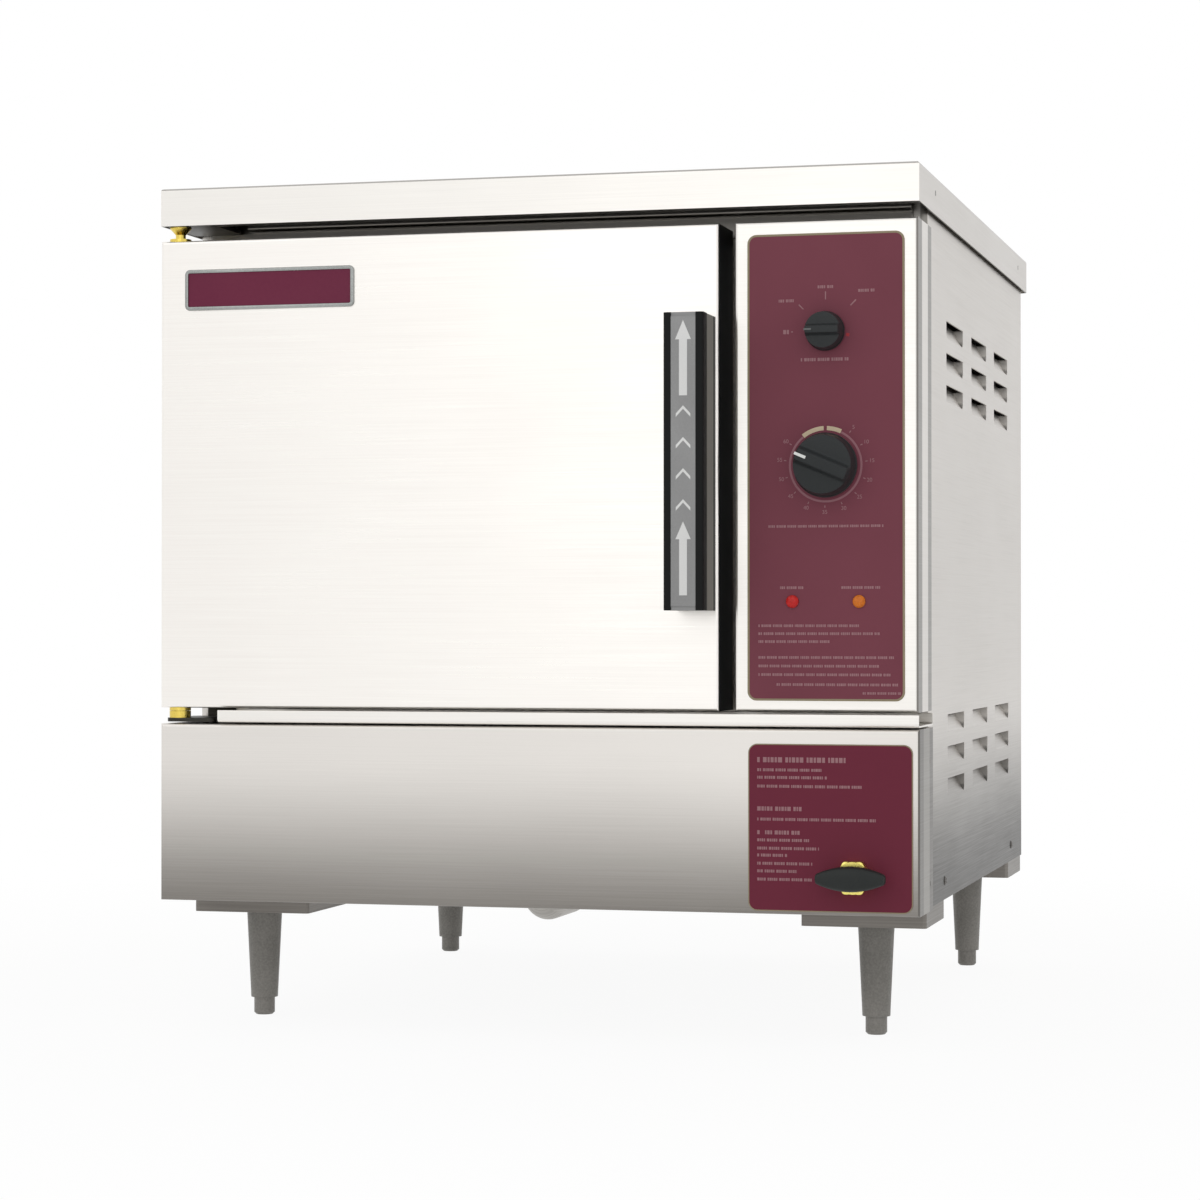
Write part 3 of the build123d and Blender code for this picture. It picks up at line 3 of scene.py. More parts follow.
import bmesh
import bpy
import numpy as np
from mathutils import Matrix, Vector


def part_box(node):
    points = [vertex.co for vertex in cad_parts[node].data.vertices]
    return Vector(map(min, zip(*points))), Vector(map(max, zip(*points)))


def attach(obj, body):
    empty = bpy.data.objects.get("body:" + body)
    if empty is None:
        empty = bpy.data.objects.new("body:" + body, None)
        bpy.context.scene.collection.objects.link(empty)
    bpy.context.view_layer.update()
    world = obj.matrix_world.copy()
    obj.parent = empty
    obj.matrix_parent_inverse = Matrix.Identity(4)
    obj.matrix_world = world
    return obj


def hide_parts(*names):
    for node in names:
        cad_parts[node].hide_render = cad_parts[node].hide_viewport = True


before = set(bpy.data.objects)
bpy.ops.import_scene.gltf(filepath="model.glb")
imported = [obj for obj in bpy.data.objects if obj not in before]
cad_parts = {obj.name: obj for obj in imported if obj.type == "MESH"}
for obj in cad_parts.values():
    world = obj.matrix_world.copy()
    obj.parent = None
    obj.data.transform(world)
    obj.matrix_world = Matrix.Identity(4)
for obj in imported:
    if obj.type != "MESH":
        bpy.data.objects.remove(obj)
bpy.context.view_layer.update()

# Cabinet shell: welded front frame with its hinge plates, side and rear panels. The real ones are
# 304 stainless sheet, folded and spot-welded, with a brushed finish that runs level all round.
mm = 0.001
front_steel = "F5F2ED"
front_steel_dark = "EEEBE6"
# Painted shade: the side and rear panels are the same steel as the front, coloured greyer.
side_steel = "D4D0CB"
# Painted reflection and shade: towards the floor the side panels fall to this dark grey between the two
# heights below.
side_low = "4A4845"
side_dark_height = 110 * mm
side_light_height = 265 * mm
# Painted shade on the rounded front bend of the side panels, toned darker round this depth.
side_bend_middle = 1.5 * mm
side_bend_reach = 3.2 * mm
# Painted shade: the frame is toned dark from this drop below the door's top upwards, under the cover.
frame_shade_drop = 4 * mm
grit_pitch = 1.1 * mm     # real grit is about 0.1 mm; it is drawn coarser so that it shows
grit_length = 160 * mm


def linear(code):
    """Turn an sRGB hex colour to linear: c / 12.92 below 0.04045, else ((c + 0.055) / 1.055) ** 2.4."""
    srgb = np.array([int(code[i:i + 2], 16) for i in (0, 2, 4)]) / 255
    value = np.where(srgb <= 0.04045, srgb / 12.92, ((srgb + 0.055) / 1.055) ** 2.4)
    return (*value, 1.0)


def node(tree, kind, values={}, links={}):
    """Add one shader node; values go on its inputs or its own settings, links join sockets to it."""
    made = tree.nodes.new(kind)
    for name, value in values.items():
        if isinstance(name, int) or name in made.inputs:
            made.inputs[name].default_value = value
        else:
            setattr(made, name, value)
    for name, socket in links.items():
        tree.links.new(socket, made.inputs[name])
    return made


def new_finish(name, metallic, roughness, ior=1.5):
    """Start a material: its tree, its shader and its object coordinates."""
    material = bpy.data.materials.new(name)
    material.use_nodes = True
    tree = material.node_tree
    shader = tree.nodes["Principled BSDF"]
    shader.inputs["Metallic"].default_value = metallic
    shader.inputs["Roughness"].default_value = roughness
    shader.inputs["IOR"].default_value = ior
    place = node(tree, "ShaderNodeTexCoord").outputs["Object"]
    return material, tree, shader, place


def noise_at(tree, place, scale, detail=3.0, name="Fac"):
    """Noise whose grain is 1 / scale metres along each axis."""
    stretched = node(tree, "ShaderNodeMapping", {"Scale": scale}, {"Vector": place})
    return node(tree, "ShaderNodeTexNoise", {"Scale": 1.0, "Detail": detail},
                {"Vector": stretched.outputs[0]}).outputs[name]


def between(tree, factor, light, dark):
    """Colour that runs from light at 0 to dark at 1."""
    return node(tree, "ShaderNodeMix", {"data_type": "RGBA", 6: linear(light), 7: linear(dark)},
                {0: factor}).outputs[2]


def range_of(tree, value, low, high, start=0.3, end=0.7):
    """Map a value from start..end to low..high."""
    return node(tree, "ShaderNodeMapRange", {1: start, 2: end, 3: low, 4: high}, {0: value}).outputs[0]


def brushed_steel(name, light, dark, roughness):
    """Brushed sheet: long level scratches on upright faces, and lines along X on level ones."""
    material, tree, shader, place = new_finish(name, 1.0, roughness)
    normal = node(tree, "ShaderNodeNewGeometry").outputs["Normal"]
    rise = node(tree, "ShaderNodeSeparateXYZ", {}, {0: normal}).outputs[2]
    level = node(tree, "ShaderNodeMath", {"operation": "ABSOLUTE"}, {0: rise}).outputs[0]
    flat = node(tree, "ShaderNodeMath", {"operation": "GREATER_THAN", 1: 0.7}, {0: level}).outputs[0]
    long, short = 1 / grit_length, 1 / grit_pitch
    upright = node(tree, "ShaderNodeMapping", {"Scale": (long, long, short)}, {"Vector": place})
    lying = node(tree, "ShaderNodeMapping", {"Scale": (long, short, long)}, {"Vector": place})
    way = node(tree, "ShaderNodeMix", {"data_type": "VECTOR"},
               {0: flat, 4: upright.outputs[0], 5: lying.outputs[0]}).outputs[1]
    grit = node(tree, "ShaderNodeTexNoise", {"Scale": 1.0, "Detail": 4.0, "Roughness": 0.7},
                {"Vector": way}).outputs["Fac"]
    smear = noise_at(tree, place, (5, 5, 9))
    shade = node(tree, "ShaderNodeMath", {"operation": "MULTIPLY_ADD", 1: 0.65, 2: 0.0},
                 {0: grit}).outputs[0]
    tone = node(tree, "ShaderNodeMath", {"operation": "MULTIPLY_ADD", 1: 0.35},
                {0: smear, 2: shade}).outputs[0]
    tree.links.new(between(tree, range_of(tree, tone, 0, 1, 0.35, 0.65), light, dark),
                   shader.inputs["Base Color"])
    tree.links.new(range_of(tree, tone, roughness - 0.05, roughness + 0.07), shader.inputs["Roughness"])
    bump = node(tree, "ShaderNodeBump", {"Strength": 0.12, "Distance": 0.02 * mm}, {"Height": grit})
    tree.links.new(bump.outputs[0], shader.inputs["Normal"])
    return material


def wear(material, *names):
    """Give CAD nodes a finish."""
    for name in names:
        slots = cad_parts[name].data.materials
        slots.clear()
        slots.append(material)


def falling_steel(name, light, dark, roughness, low, high):
    """Brushed steel with painted shade: its tone falls from light at the height high to dark at the height
    low.
    """
    material = brushed_steel(name, light, light, roughness)
    tree = material.node_tree
    shader = tree.nodes["Principled BSDF"]
    grit = shader.inputs["Roughness"].links[0].from_socket
    place = node(tree, "ShaderNodeTexCoord").outputs["Object"]
    height = node(tree, "ShaderNodeSeparateXYZ", {}, {0: place}).outputs[2]
    fall = range_of(tree, height, 0.0, 1.0, high, low)
    fall.node.interpolation_type = "SMOOTHSTEP"
    lines = range_of(tree, grit, -0.05, 0.05, roughness - 0.05, roughness + 0.07)
    mixed = node(tree, "ShaderNodeMath", {"operation": "ADD", "use_clamp": True}, {0: fall, 1: lines})
    tree.links.new(between(tree, mixed.outputs[0], light, dark), shader.inputs["Base Color"])
    return material


def toned(material, mask, code):
    """Lay a second tone over a finish's colour where the mask is 1."""
    tree = material.node_tree
    shader = tree.nodes["Principled BSDF"]
    under = shader.inputs["Base Color"].links[0].from_socket
    over = node(tree, "ShaderNodeMix", {"data_type": "RGBA", 7: linear(code)}, {0: mask, 6: under})
    tree.links.new(over.outputs[2], shader.inputs["Base Color"])


def compared(tree, source, axis, test, value, reach=0.0):
    """1 where one axis of the position or the normal passes a test against a value."""
    if source == "normal":
        vector = node(tree, "ShaderNodeNewGeometry").outputs["Normal"]
    else:
        vector = node(tree, "ShaderNodeTexCoord").outputs["Object"]
    part = node(tree, "ShaderNodeSeparateXYZ", {}, {0: vector}).outputs[axis]
    return node(tree, "ShaderNodeMath", {"operation": test, 1: value, 2: reach}, {0: part}).outputs[0]


def both(tree, first, second):
    """1 where two masks are 1."""
    return node(tree, "ShaderNodeMath", {"operation": "MULTIPLY"}, {0: first, 1: second}).outputs[0]


side_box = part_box("right_side_panel")
door_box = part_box("door_outer_panel")
side_finish = falling_steel("brushed_304_stainless_side", side_steel, side_low, 0.38, side_dark_height,
                            side_light_height)
side_tree = side_finish.node_tree
# Painted shade: the rounded front bend of the side panels is toned darker.
bend = both(side_tree, compared(side_tree, "place", 1, "COMPARE", side_box[0].y + side_bend_middle,
                                side_bend_reach),
            compared(side_tree, "normal", 0, "GREATER_THAN", 0.3))
toned(side_finish, bend, "8F8C87")
frame_finish = brushed_steel("brushed_304_stainless_frame", front_steel, front_steel_dark, 0.32)
# Painted shade: the frame's band above the door, in the recess under the cover, is toned dark grey.
toned(frame_finish, compared(frame_finish.node_tree, "place", 2, "GREATER_THAN",
                             door_box[1].z - frame_shade_drop), "8D8A85")
# Painted shade: the hinge plates lie in the shaded recess, so their steel is coloured near black.
shaded_steel = brushed_steel("painted_shade_dark_steel", "4A4946", "34332F", 0.4)


def banded_side(material, box, edge, stripe):
    """Right side of a box as the photograph shows it, in painted reflections: a grey edge, a lighter stripe
    and grey again.
    """
    tree = material.node_tree
    depth = box[1].y - box[0].y
    outer = compared(tree, "normal", 0, "GREATER_THAN", 0.5)
    middle = compared(tree, "place", 1, "COMPARE", box[0].y + 0.52 * depth, 0.22 * depth)
    toned(material, outer, edge)
    toned(material, both(tree, outer, middle), stripe)


wear(frame_finish, "front_frame")
wear(shaded_steel, "hinge_plates")
wear(side_finish, "left_side_panel", "right_side_panel", "rear_panel")

# Stand: base pan and corner brackets of stainless sheet, coloured darker as painted shade under the
# body, with tapered legs and screw feet of turned steel in a warm grey hammered paint; the feet
# screw out of the legs.
stand_grey = "85827D"
stand_grey_dark = "6C6A65"


def speckled(name, light, dark, metallic, roughness, grain, bump_depth, ior=1.5):
    """Mottled coat: colour, gloss and height follow noise of the given grain in metres."""
    material, tree, shader, place = new_finish(name, metallic, roughness, ior)
    dots = noise_at(tree, place, (1 / grain,) * 3)
    cloud = noise_at(tree, place, (18, 18, 18), 2.0)
    tone = node(tree, "ShaderNodeMath", {"operation": "MULTIPLY_ADD", 1: 0.5}, {0: dots}).outputs[0]
    tree.links.new(node(tree, "ShaderNodeMath", {"operation": "MULTIPLY", 1: 0.5}, {0: cloud}).outputs[0],
                   tone.node.inputs[2])
    tree.links.new(between(tree, range_of(tree, tone, 0, 1, 0.35, 0.65), light, dark),
                   shader.inputs["Base Color"])
    tree.links.new(range_of(tree, tone, roughness - 0.05, roughness + 0.06), shader.inputs["Roughness"])
    bump = node(tree, "ShaderNodeBump", {"Strength": 0.25, "Distance": bump_depth}, {"Height": dots})
    tree.links.new(bump.outputs[0], shader.inputs["Normal"])
    return material


stand_paint = speckled("hammered_grey_paint", stand_grey, stand_grey_dark, 0.35, 0.42, 1.6 * mm,
                       0.1 * mm)
base_finish = brushed_steel("brushed_304_stainless_base", "85817C", "76726D", 0.4)
wear(base_finish, "base_pan", "leg_brackets")
wear(stand_paint, "legs", "foot_front_left", "foot_front_right", "foot_rear_left",
     "foot_rear_right")

# Cooking cavity: deep-drawn liner, welded pan racks and the sheet baffle over the fan wheel.
# The real ones are polished stainless, duller where steam has dried on them.
cavity_finish = brushed_steel("satin_stainless_cavity", "D4D1CC", "B4B0AA", 0.27)
wear(cavity_finish, "cavity_liner", "pan_racks", "fan_baffle", "fan_wheel")
motor_paint = speckled("grey_enamelled_casting", "4B5054", "3A3E42", 0.2, 0.45, 1.2 * mm, 0.08 * mm)
wear(motor_paint, "fan_motor", "timer_mechanism")
wool = speckled("mineral_wool", "C9BC8A", "A0915F", 0.0, 0.95, 0.9 * mm, 0.6 * mm)
wear(wool, "cavity_insulation", "door_insulation")

# Steam generator: welded tank with a bolted lid, bent tube heaters and probes, and the pipes.
# The real tank is pickled stainless, matt and a little darker than the panels.
tank_finish = brushed_steel("pickled_stainless_tank", "B9B6B1", "928F8A", 0.45)
wear(tank_finish, "generator_tank", "generator_lid", "heating_elements", "level_probes", "steam_pipe",
     "fill_tube", "drain_tubes", "component_plate", "latch_bracket", "cavity_drain")

# Brass fittings: inlet valve, drain valve with its ball and stem, hinge pins and bushes.
# The real ones are machined from bar, bright yellow with fine turning lines.
brass = speckled("machined_brass", "F0DA74", "DDBF55", 1.0, 0.28, 0.7 * mm, 0.01 * mm)
wear(brass, "water_inlet_valve", "drain_valve_body", "drain_valve_stem", "hinge_pins", "door_bushes")

# Electrics in the right compartment: a moulded contactor and selector switch, a lacquered board
# on standoffs, and the nylon gland for the supply cable in the rear panel.
nylon = speckled("moulded_black_nylon", "2B2D2F", "1F2123", 0.0, 0.48, 0.5 * mm, 0.02 * mm, 1.53)
wear(nylon, "selector_switch", "contactor", "cable_gland")
board = speckled("lacquered_glass_epoxy", "1F5A38", "17452B", 0.0, 0.3, 0.8 * mm, 0.02 * mm, 1.55)
wear(board, "control_board")

# Top cover: one tray of the same stainless, folded down all round and welded at its corners. Painted
# shade: its sides and the bend round its top are coloured greyer than its front, and its underside dark.
cover_finish = brushed_steel("brushed_304_stainless_cover", "F2EFEA", "ECE9E4", 0.32)
cover_side = "CBC7C2"
cover_tree = cover_finish.node_tree
toned(cover_finish, compared(cover_tree, "normal", 2, "LESS_THAN", -0.5), "65635F")
toned(cover_finish, compared(cover_tree, "normal", 0, "GREATER_THAN", 0.7), cover_side)
toned(cover_finish, compared(cover_tree, "normal", 0, "LESS_THAN", -0.7), cover_side)
toned(cover_finish, compared(cover_tree, "normal", 2, "COMPARE", 0.55, 0.35), "B0ADA9")
wear(cover_finish, "top_cover")

# Screws of the cover, side panels and front box: pan heads with a cross recess, zinc plated.
# The flush ones sit in the sheet; each head is a low dome with the cross pressed into it.
screw_segments = 32
screw_rings = np.array([0.0, 0.2, 0.4, 0.6, 0.8, 0.93, 1.0])
cross_half = 0.16
cross_reach = 0.62
screw_shank = 4 * mm
lower_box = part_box("lower_front_panel")
cover_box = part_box("top_cover")


def grid_part(grid, wrap_rows=False):
    """Points and faces of a grid: columns always close round, rows close round too when asked,
    and otherwise the first and last row are closed with one face each."""
    rows, columns = grid.shape[:2]
    index = np.arange(rows * columns).reshape(rows, columns)
    next_row = np.roll(index, -1, 0) if wrap_rows else index[1:]
    this_row = index if wrap_rows else index[:-1]
    quads = np.stack([this_row, np.roll(this_row, -1, 1), np.roll(next_row, -1, 1), next_row], -1)
    ends = [] if wrap_rows else [index[0].tolist(), index[-1].tolist()]
    return grid.reshape(-1, 3), quads.reshape(-1, 4).tolist() + ends


def finished(name, points, faces, finish, slot_name, body, smooth_to=35):
    """Merge doubled points, turn the faces outwards and hang the piece on its body."""
    mesh = bpy.data.meshes.new(name)
    mesh.from_pydata(np.asarray(points).tolist(), [], faces)
    edit = bmesh.new()
    edit.from_mesh(mesh)
    bmesh.ops.remove_doubles(edit, verts=edit.verts, dist=1e-6)
    bmesh.ops.recalc_face_normals(edit, faces=edit.faces)
    edit.to_mesh(mesh)
    edit.free()
    mesh.shade_smooth()
    mesh.set_sharp_from_angle(angle=math.radians(smooth_to))
    mesh.materials.append(finish)
    piece = bpy.data.objects.new(name, mesh)
    bpy.context.scene.collection.objects.link(piece)
    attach(piece, body)
    return piece


def surface(name, grid, finish, slot_name, body, smooth_to=35):
    """One mesh of one grid with closed ends."""
    return finished(name, *grid_part(grid), finish, slot_name, body, smooth_to)


def several(name, parts, finish, slot_name, body, smooth_to=35):
    """One mesh of many closed parts, each given as its points and its faces."""
    points, faces, count = [], [], 0
    for part_points, part_faces in parts:
        points.append(part_points)
        faces += [[corner + count for corner in face] for face in part_faces]
        count += len(part_points)
    return finished(name, np.concatenate(points), faces, finish, slot_name, body, smooth_to)


def screw_head(x, y, z, side, radius, rise):
    """Dome of height rise * (1 - r ** 2) with a cross where |across| < cross_half within reach."""
    angle = np.linspace(0, 2 * math.pi, screw_segments, endpoint=False)
    radial, around = np.meshgrid(screw_rings[::-1], angle, indexing="ij")
    across = np.minimum(np.abs(radial * np.cos(around)), np.abs(radial * np.sin(around)))
    cross = (across < cross_half) & (radial < cross_reach)
    height = rise * (0.35 + 0.65 * (1 - radial ** 2)) - np.where(cross, 0.55 * rise, 0)
    front = np.stack([x + side * height, y + radius * radial * np.cos(around),
                      z + radius * radial * np.sin(around)], -1)
    back = front[:1].copy()
    back[..., 0] = x - side * screw_shank
    return grid_part(np.concatenate([back, front[:-1]]))


flush_head = 0.25 * mm
raised_head = 1.6 * mm
raised_head_inset = 4.5 * mm
door_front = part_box("control_panel")[0].y
cabinet_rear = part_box("rear_panel")[1].y
cover_screw_places = (door_front + 83 * mm, cover_box[1].y - 71.7 * mm)
cover_screw_drop = 13.4 * mm
front_screw_place = door_front + 52 * mm
front_screw_rises = (21.6 * mm, 114.6 * mm)
side_screw_places = (door_front + 160 * mm, cabinet_rear - 80 * mm)
side_screw_rise = 15 * mm
heads = []
for side in (-1, 1):
    for y in cover_screw_places:
        heads.append(screw_head(side * (cover_box[1].x - flush_head), y, cover_box[1].z - cover_screw_drop,
                                side, 2.8 * mm, flush_head))
    for rise in front_screw_rises:
        heads.append(screw_head(side * (lower_box[1].x - flush_head), front_screw_place,
                                lower_box[0].z + rise, side, 2.2 * mm, flush_head))
    for y in side_screw_places:
        heads.append(screw_head(side * (cover_box[1].x - raised_head_inset), y,
                                lower_box[0].z + side_screw_rise, side, 3.5 * mm, raised_head))
zinc = speckled("zinc_plated_steel", "75726E", "55534F", 1.0, 0.4, 0.6 * mm, 0.01 * mm)
screws = several("panel_screw_heads", heads, zinc, "stainless_steel", "cabinet", 30)
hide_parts("panel_screws")

# Lower front panel and drip trough: the real ones are folded from the same sheet, brushed level,
# and their lower part mirrors the dark counter, painted in as reflection: the steel falls off to grey.
lower_light = "E4E0DB"
lower_dark = "807C77"
lower_dark_height = lower_box[0].z - 20 * mm
lower_light_height = lower_box[1].z - 15 * mm
lower_finish = falling_steel("brushed_304_stainless_lower", lower_light, lower_dark, 0.36,
                             lower_dark_height, lower_light_height)
# Painted reflection bands on the lower panel's right side.
banded_side(lower_finish, lower_box, "6F6C68", "918E89")
wear(lower_finish, "lower_front_panel")
front_finish = brushed_steel("brushed_304_stainless_front", front_steel, front_steel_dark, 0.32)
wear(front_finish, "drip_trough", "latch_strike", "door_switch")

# Control panel: a formed box of the same brushed stainless on the front frame. Its edge beside the
# door is coloured black as painted shade of the gap, as the door's is, and its right side carries
# painted reflection bands.
edge_black = "0B0B0C"
control_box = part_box("control_panel")


def black_edge(material, test, axis_limit, y_start):
    """Painted gap shade: black on a steel box's side beyond the limit on X and behind y_start on Y."""
    tree = material.node_tree
    mask = both(tree, compared(tree, "place", 0, test, axis_limit),
                compared(tree, "place", 1, "GREATER_THAN", y_start))
    paint = node(tree, "ShaderNodeBsdfPrincipled", {"Roughness": 0.6})
    spots = noise_at(tree, node(tree, "ShaderNodeTexCoord").outputs["Object"], (900, 900, 900))
    tree.links.new(between(tree, spots, edge_black, "151516"), paint.inputs["Base Color"])
    mixed = node(tree, "ShaderNodeMixShader", {},
                 {0: mask, 1: tree.nodes["Principled BSDF"].outputs[0], 2: paint.outputs[0]})
    tree.links.new(mixed.outputs[0], tree.nodes["Material Output"].inputs["Surface"])


control_finish = brushed_steel("brushed_304_stainless_control", front_steel, front_steel_dark, 0.32)
black_edge(control_finish, "LESS_THAN", control_box[0].x + 0.6 * mm, door_front + 2 * mm)
banded_side(control_finish, control_box, "85827E", "D9D5D0")
wear(control_finish, "control_panel")

# Printed overlays: second-surface printed polycarbonate film, stuck to the steel, with a fine
# velvet texture. The upper one is a little greyer than the one round the drain valve.
burgundy = "773F4B"
burgundy_dark = "733C48"
lower_burgundy = "6B2739"
film, film_tree, film_shader, film_place = new_finish("velvet_polycarbonate_film", 0.0, 0.5, 1.58)
film_shader.inputs["Specular IOR Level"].default_value = 0.12
film_cloud = noise_at(film_tree, film_place, (14, 14, 9), 2.0)
film_upper = between(film_tree, range_of(film_tree, film_cloud, 0, 1), burgundy, burgundy_dark)
film_height = node(film_tree, "ShaderNodeSeparateXYZ", {}, {0: film_place}).outputs[2]
film_is_upper = node(film_tree, "ShaderNodeMath", {"operation": "GREATER_THAN", 1: lower_box[1].z},
                     {0: film_height})
film_colour = node(film_tree, "ShaderNodeMix", {"data_type": "RGBA", 6: linear(lower_burgundy)},
                   {0: film_is_upper.outputs[0], 7: film_upper})
film_tree.links.new(film_colour.outputs[2], film_shader.inputs["Base Color"])
film_grain = noise_at(film_tree, film_place, (2600, 2600, 2600), 1.0)
film_bump = node(film_tree, "ShaderNodeBump", {"Strength": 0.15, "Distance": 0.02 * mm},
                 {"Height": film_grain})
film_tree.links.new(film_bump.outputs[0], film_shader.inputs["Normal"])
wear(film, "front_overlays")

# Printing on the overlays: border lines, dial ring, ticks, dial numbers and rows of plain blocks.
# It is screen-printed ink, a hair thick, on the front of the film.
ink_thickness = 0.08 * mm
film_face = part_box("front_overlays")[0].y
upper_left = control_box[0].x + 10 * mm
upper_right = control_box[1].x - 10 * mm
upper_low = control_box[0].z + 8.5 * mm
upper_high = control_box[1].z - 10 * mm
lower_left = lower_box[1].x - 131 * mm
lower_right = lower_box[1].x - 5 * mm
lower_low = lower_box[0].z + 2.5 * mm
lower_high = lower_box[1].z - 11.5 * mm
film_corner = 7 * mm
corner_steps = 8
selector_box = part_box("selector_knob")
timer_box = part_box("timer_knob")
dial_x = (timer_box[0].x + timer_box[1].x) / 2
dial_z = (timer_box[0].z + timer_box[1].z) / 2
pick_z = (selector_box[0].z + selector_box[1].z) / 2


def printed(outline, y):
    """A flat print: an outline of (x, z) points given the ink's thickness in front of depth y."""
    outline = np.asarray(outline, float)
    count = len(outline)
    back = np.stack([outline[:, 0], np.full(count, y), outline[:, 1]], -1)
    front = back - (0, ink_thickness, 0)
    ring = np.arange(count)
    sides = np.stack([ring, np.roll(ring, -1), np.roll(ring, -1) + count, ring + count], -1)
    return np.concatenate([back, front]), sides.tolist() + [ring.tolist(), (ring + count).tolist()]


def rounded_path(x0, x1, z0, z1, corner):
    """Points and outward directions round a rectangle: each corner is a quarter circle."""
    turn = np.linspace(0, math.pi / 2, corner_steps)
    starts = np.repeat(np.arange(4) * math.pi / 2, corner_steps)
    angle = starts + np.tile(turn, 4)
    centre_x = np.repeat([x1 - corner, x0 + corner, x0 + corner, x1 - corner], corner_steps)
    centre_z = np.repeat([z1 - corner, z1 - corner, z0 + corner, z0 + corner], corner_steps)
    out = np.stack([np.cos(angle), np.sin(angle)], -1)
    return np.stack([centre_x, centre_z], -1) + corner * out, out


def carried(limits, corner, profile, y):
    """Carry a closed profile of (outward, forward) points round a rounded rectangle at depth y."""
    path, out = rounded_path(*limits, corner)
    profile = np.asarray(profile, float)
    place = path[:, None, :] + out[:, None, :] * profile[None, :, :1]
    depth = np.broadcast_to(y - profile[None, :, 1], place.shape[:2])
    return grid_part(np.stack([place[..., 0], depth, place[..., 1]], -1), wrap_rows=True)


def band(centre_x, centre_z, inner, outer, start, end, steps=24):
    """Arc band between two radii; angles are in degrees, clockwise from the top."""
    angle = np.radians(np.linspace(start, end, steps))
    ring = np.stack([np.sin(angle), np.cos(angle)], -1)
    outline = np.concatenate([ring * outer, ring[::-1] * inner])
    return outline + (centre_x, centre_z)


def block_row(x0, x1, z, height, seed):
    """A row of small blocks of uneven width with gaps between; the seed shifts their order."""
    width = np.array([0.9, 1.3, 0.7, 1.1, 0.8, 1.5, 1.0, 0.6, 1.2]) * height * 0.55
    steps = np.roll(np.tile(width, 12), seed) + height * 0.2
    steps[seed % 5::5] += height * 0.45
    starts = x0 + np.concatenate([[0], np.cumsum(steps)[:-1]])
    ends = starts + np.roll(np.tile(width, 12), seed)
    fits = ends < x1
    return [[(a, z), (b, z), (b, z + height), (a, z + height)]
            for a, b in zip(starts[fits], ends[fits])]


tan_ink = speckled("tan_screen_ink", "8F8368", "867A5F", 0.0, 0.5, 0.6 * mm, 0.01 * mm)
cream_ink = speckled("cream_screen_ink", "C9B79A", "BBA98C", 0.0, 0.5, 0.6 * mm, 0.01 * mm)
mauve_ink = speckled("mauve_screen_ink", "9A6E74", "8F646A", 0.0, 0.5, 0.6 * mm, 0.01 * mm)
ring_ink = speckled("dial_ring_ink", "93606A", "8A5962", 0.0, 0.5, 0.6 * mm, 0.01 * mm)
red_ink = speckled("red_screen_ink", "A3202C", "961B27", 0.0, 0.5, 0.6 * mm, 0.01 * mm)

borders = []
for limits, width in (((upper_left, upper_right, upper_low, upper_high), 1.6 * mm),
                      ((lower_left, lower_right, lower_low, lower_high), 0.8 * mm)):
    border = ((-width, 0), (-width, ink_thickness), (0, ink_thickness), (0, 0))
    borders.append(carried(limits, film_corner, border, film_face))
several("overlay_borders", borders, tan_ink, "printed_overlay", "cabinet")

several("dial_ring", [printed(band(dial_x, dial_z, 26.6 * mm, 28.2 * mm, 26, 321, 96), film_face)],
        ring_ink, "printed_overlay", "cabinet")
several("dial_marks", [printed(band(dial_x, dial_z, 26.4 * mm, 29.6 * mm, start, end), film_face)
                       for start, end in ((-38, -3), (2, 25))], cream_ink, "printed_overlay", "cabinet")

dial_numbers = 12
dial_start = 37      # degrees clockwise from the top
dial_step = 24
tick_half = 0.6
marks = []
for number in range(dial_numbers):
    angle = dial_start + dial_step * number
    marks.append(band(dial_x, dial_z, 30.4 * mm, 32.2 * mm, angle - tick_half, angle + tick_half, 2))
for angle, near, far in ((-45, 24, 29), (0, 24, 30), (45, 27, 33), (-90, 25, 26.5)):
    marks.append(band(dial_x, pick_z, near * mm, far * mm, angle - 0.9, angle + 0.9, 2))
wording = [(-32.5, -27.5, -1.6, 3.2, 1), (-36, -24, 22.5, 2.2, 2), (-6, 7, 32.5, 2.2, 3),
           (25, 38, 29, 2.2, 4), (-19, 19, -22.5, 2.4, 5)]
for x0, x1, rise, height, seed in wording:
    marks += block_row(dial_x + x0 * mm, dial_x + x1 * mm, pick_z + rise * mm, height * mm, seed)
marks += block_row(dial_x - 44 * mm, dial_x + 45 * mm, dial_z - 47 * mm, 1.9 * mm, 3)
lamps_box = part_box("signal_lamps")
lamp_z = (lamps_box[0].z + lamps_box[1].z) / 2
for x0, x1, seed in ((-35, -17, 2), (12, 42, 4)):
    marks += block_row(dial_x + x0 * mm, dial_x + x1 * mm, lamp_z + 9.5 * mm, 2.0 * mm, seed)
for seed, (x0, x1, z) in enumerate(((182, 260, 319), (182, 276, 313), (182, 237, 307), (182, 286, 295),
                                    (182, 276, 288.5), (182, 284, 282), (196, 290, 274.5))):
    marks += block_row(x0 * mm, x1 * mm, z * mm, 2.0 * mm, seed)
marks += block_row(262 * mm, 291 * mm, 268.2 * mm, 1.8 * mm, 6)
for seed, (x0, x1, z, height) in enumerate((
        (181, 252, 216.5, 3.9), (181, 233, 209.7, 2.2), (181, 235, 204, 2.2), (181, 263, 197.3, 2.2),
        (181, 216, 179.8, 3.2), (181, 272, 172.3, 2.2), (181, 184, 161.9, 3.0), (187, 214, 161.9, 3.0),
        (181, 223, 156.5, 2.2), (181, 230, 150.3, 2.2), (181, 205, 145, 2.2), (181, 224, 138.8, 2.2),
        (181, 212, 133, 2.2), (181, 224, 126.8, 2.2))):      # left, right, foot and height in mm
    marks += block_row(x0 * mm, x1 * mm, z * mm, height * mm, seed)
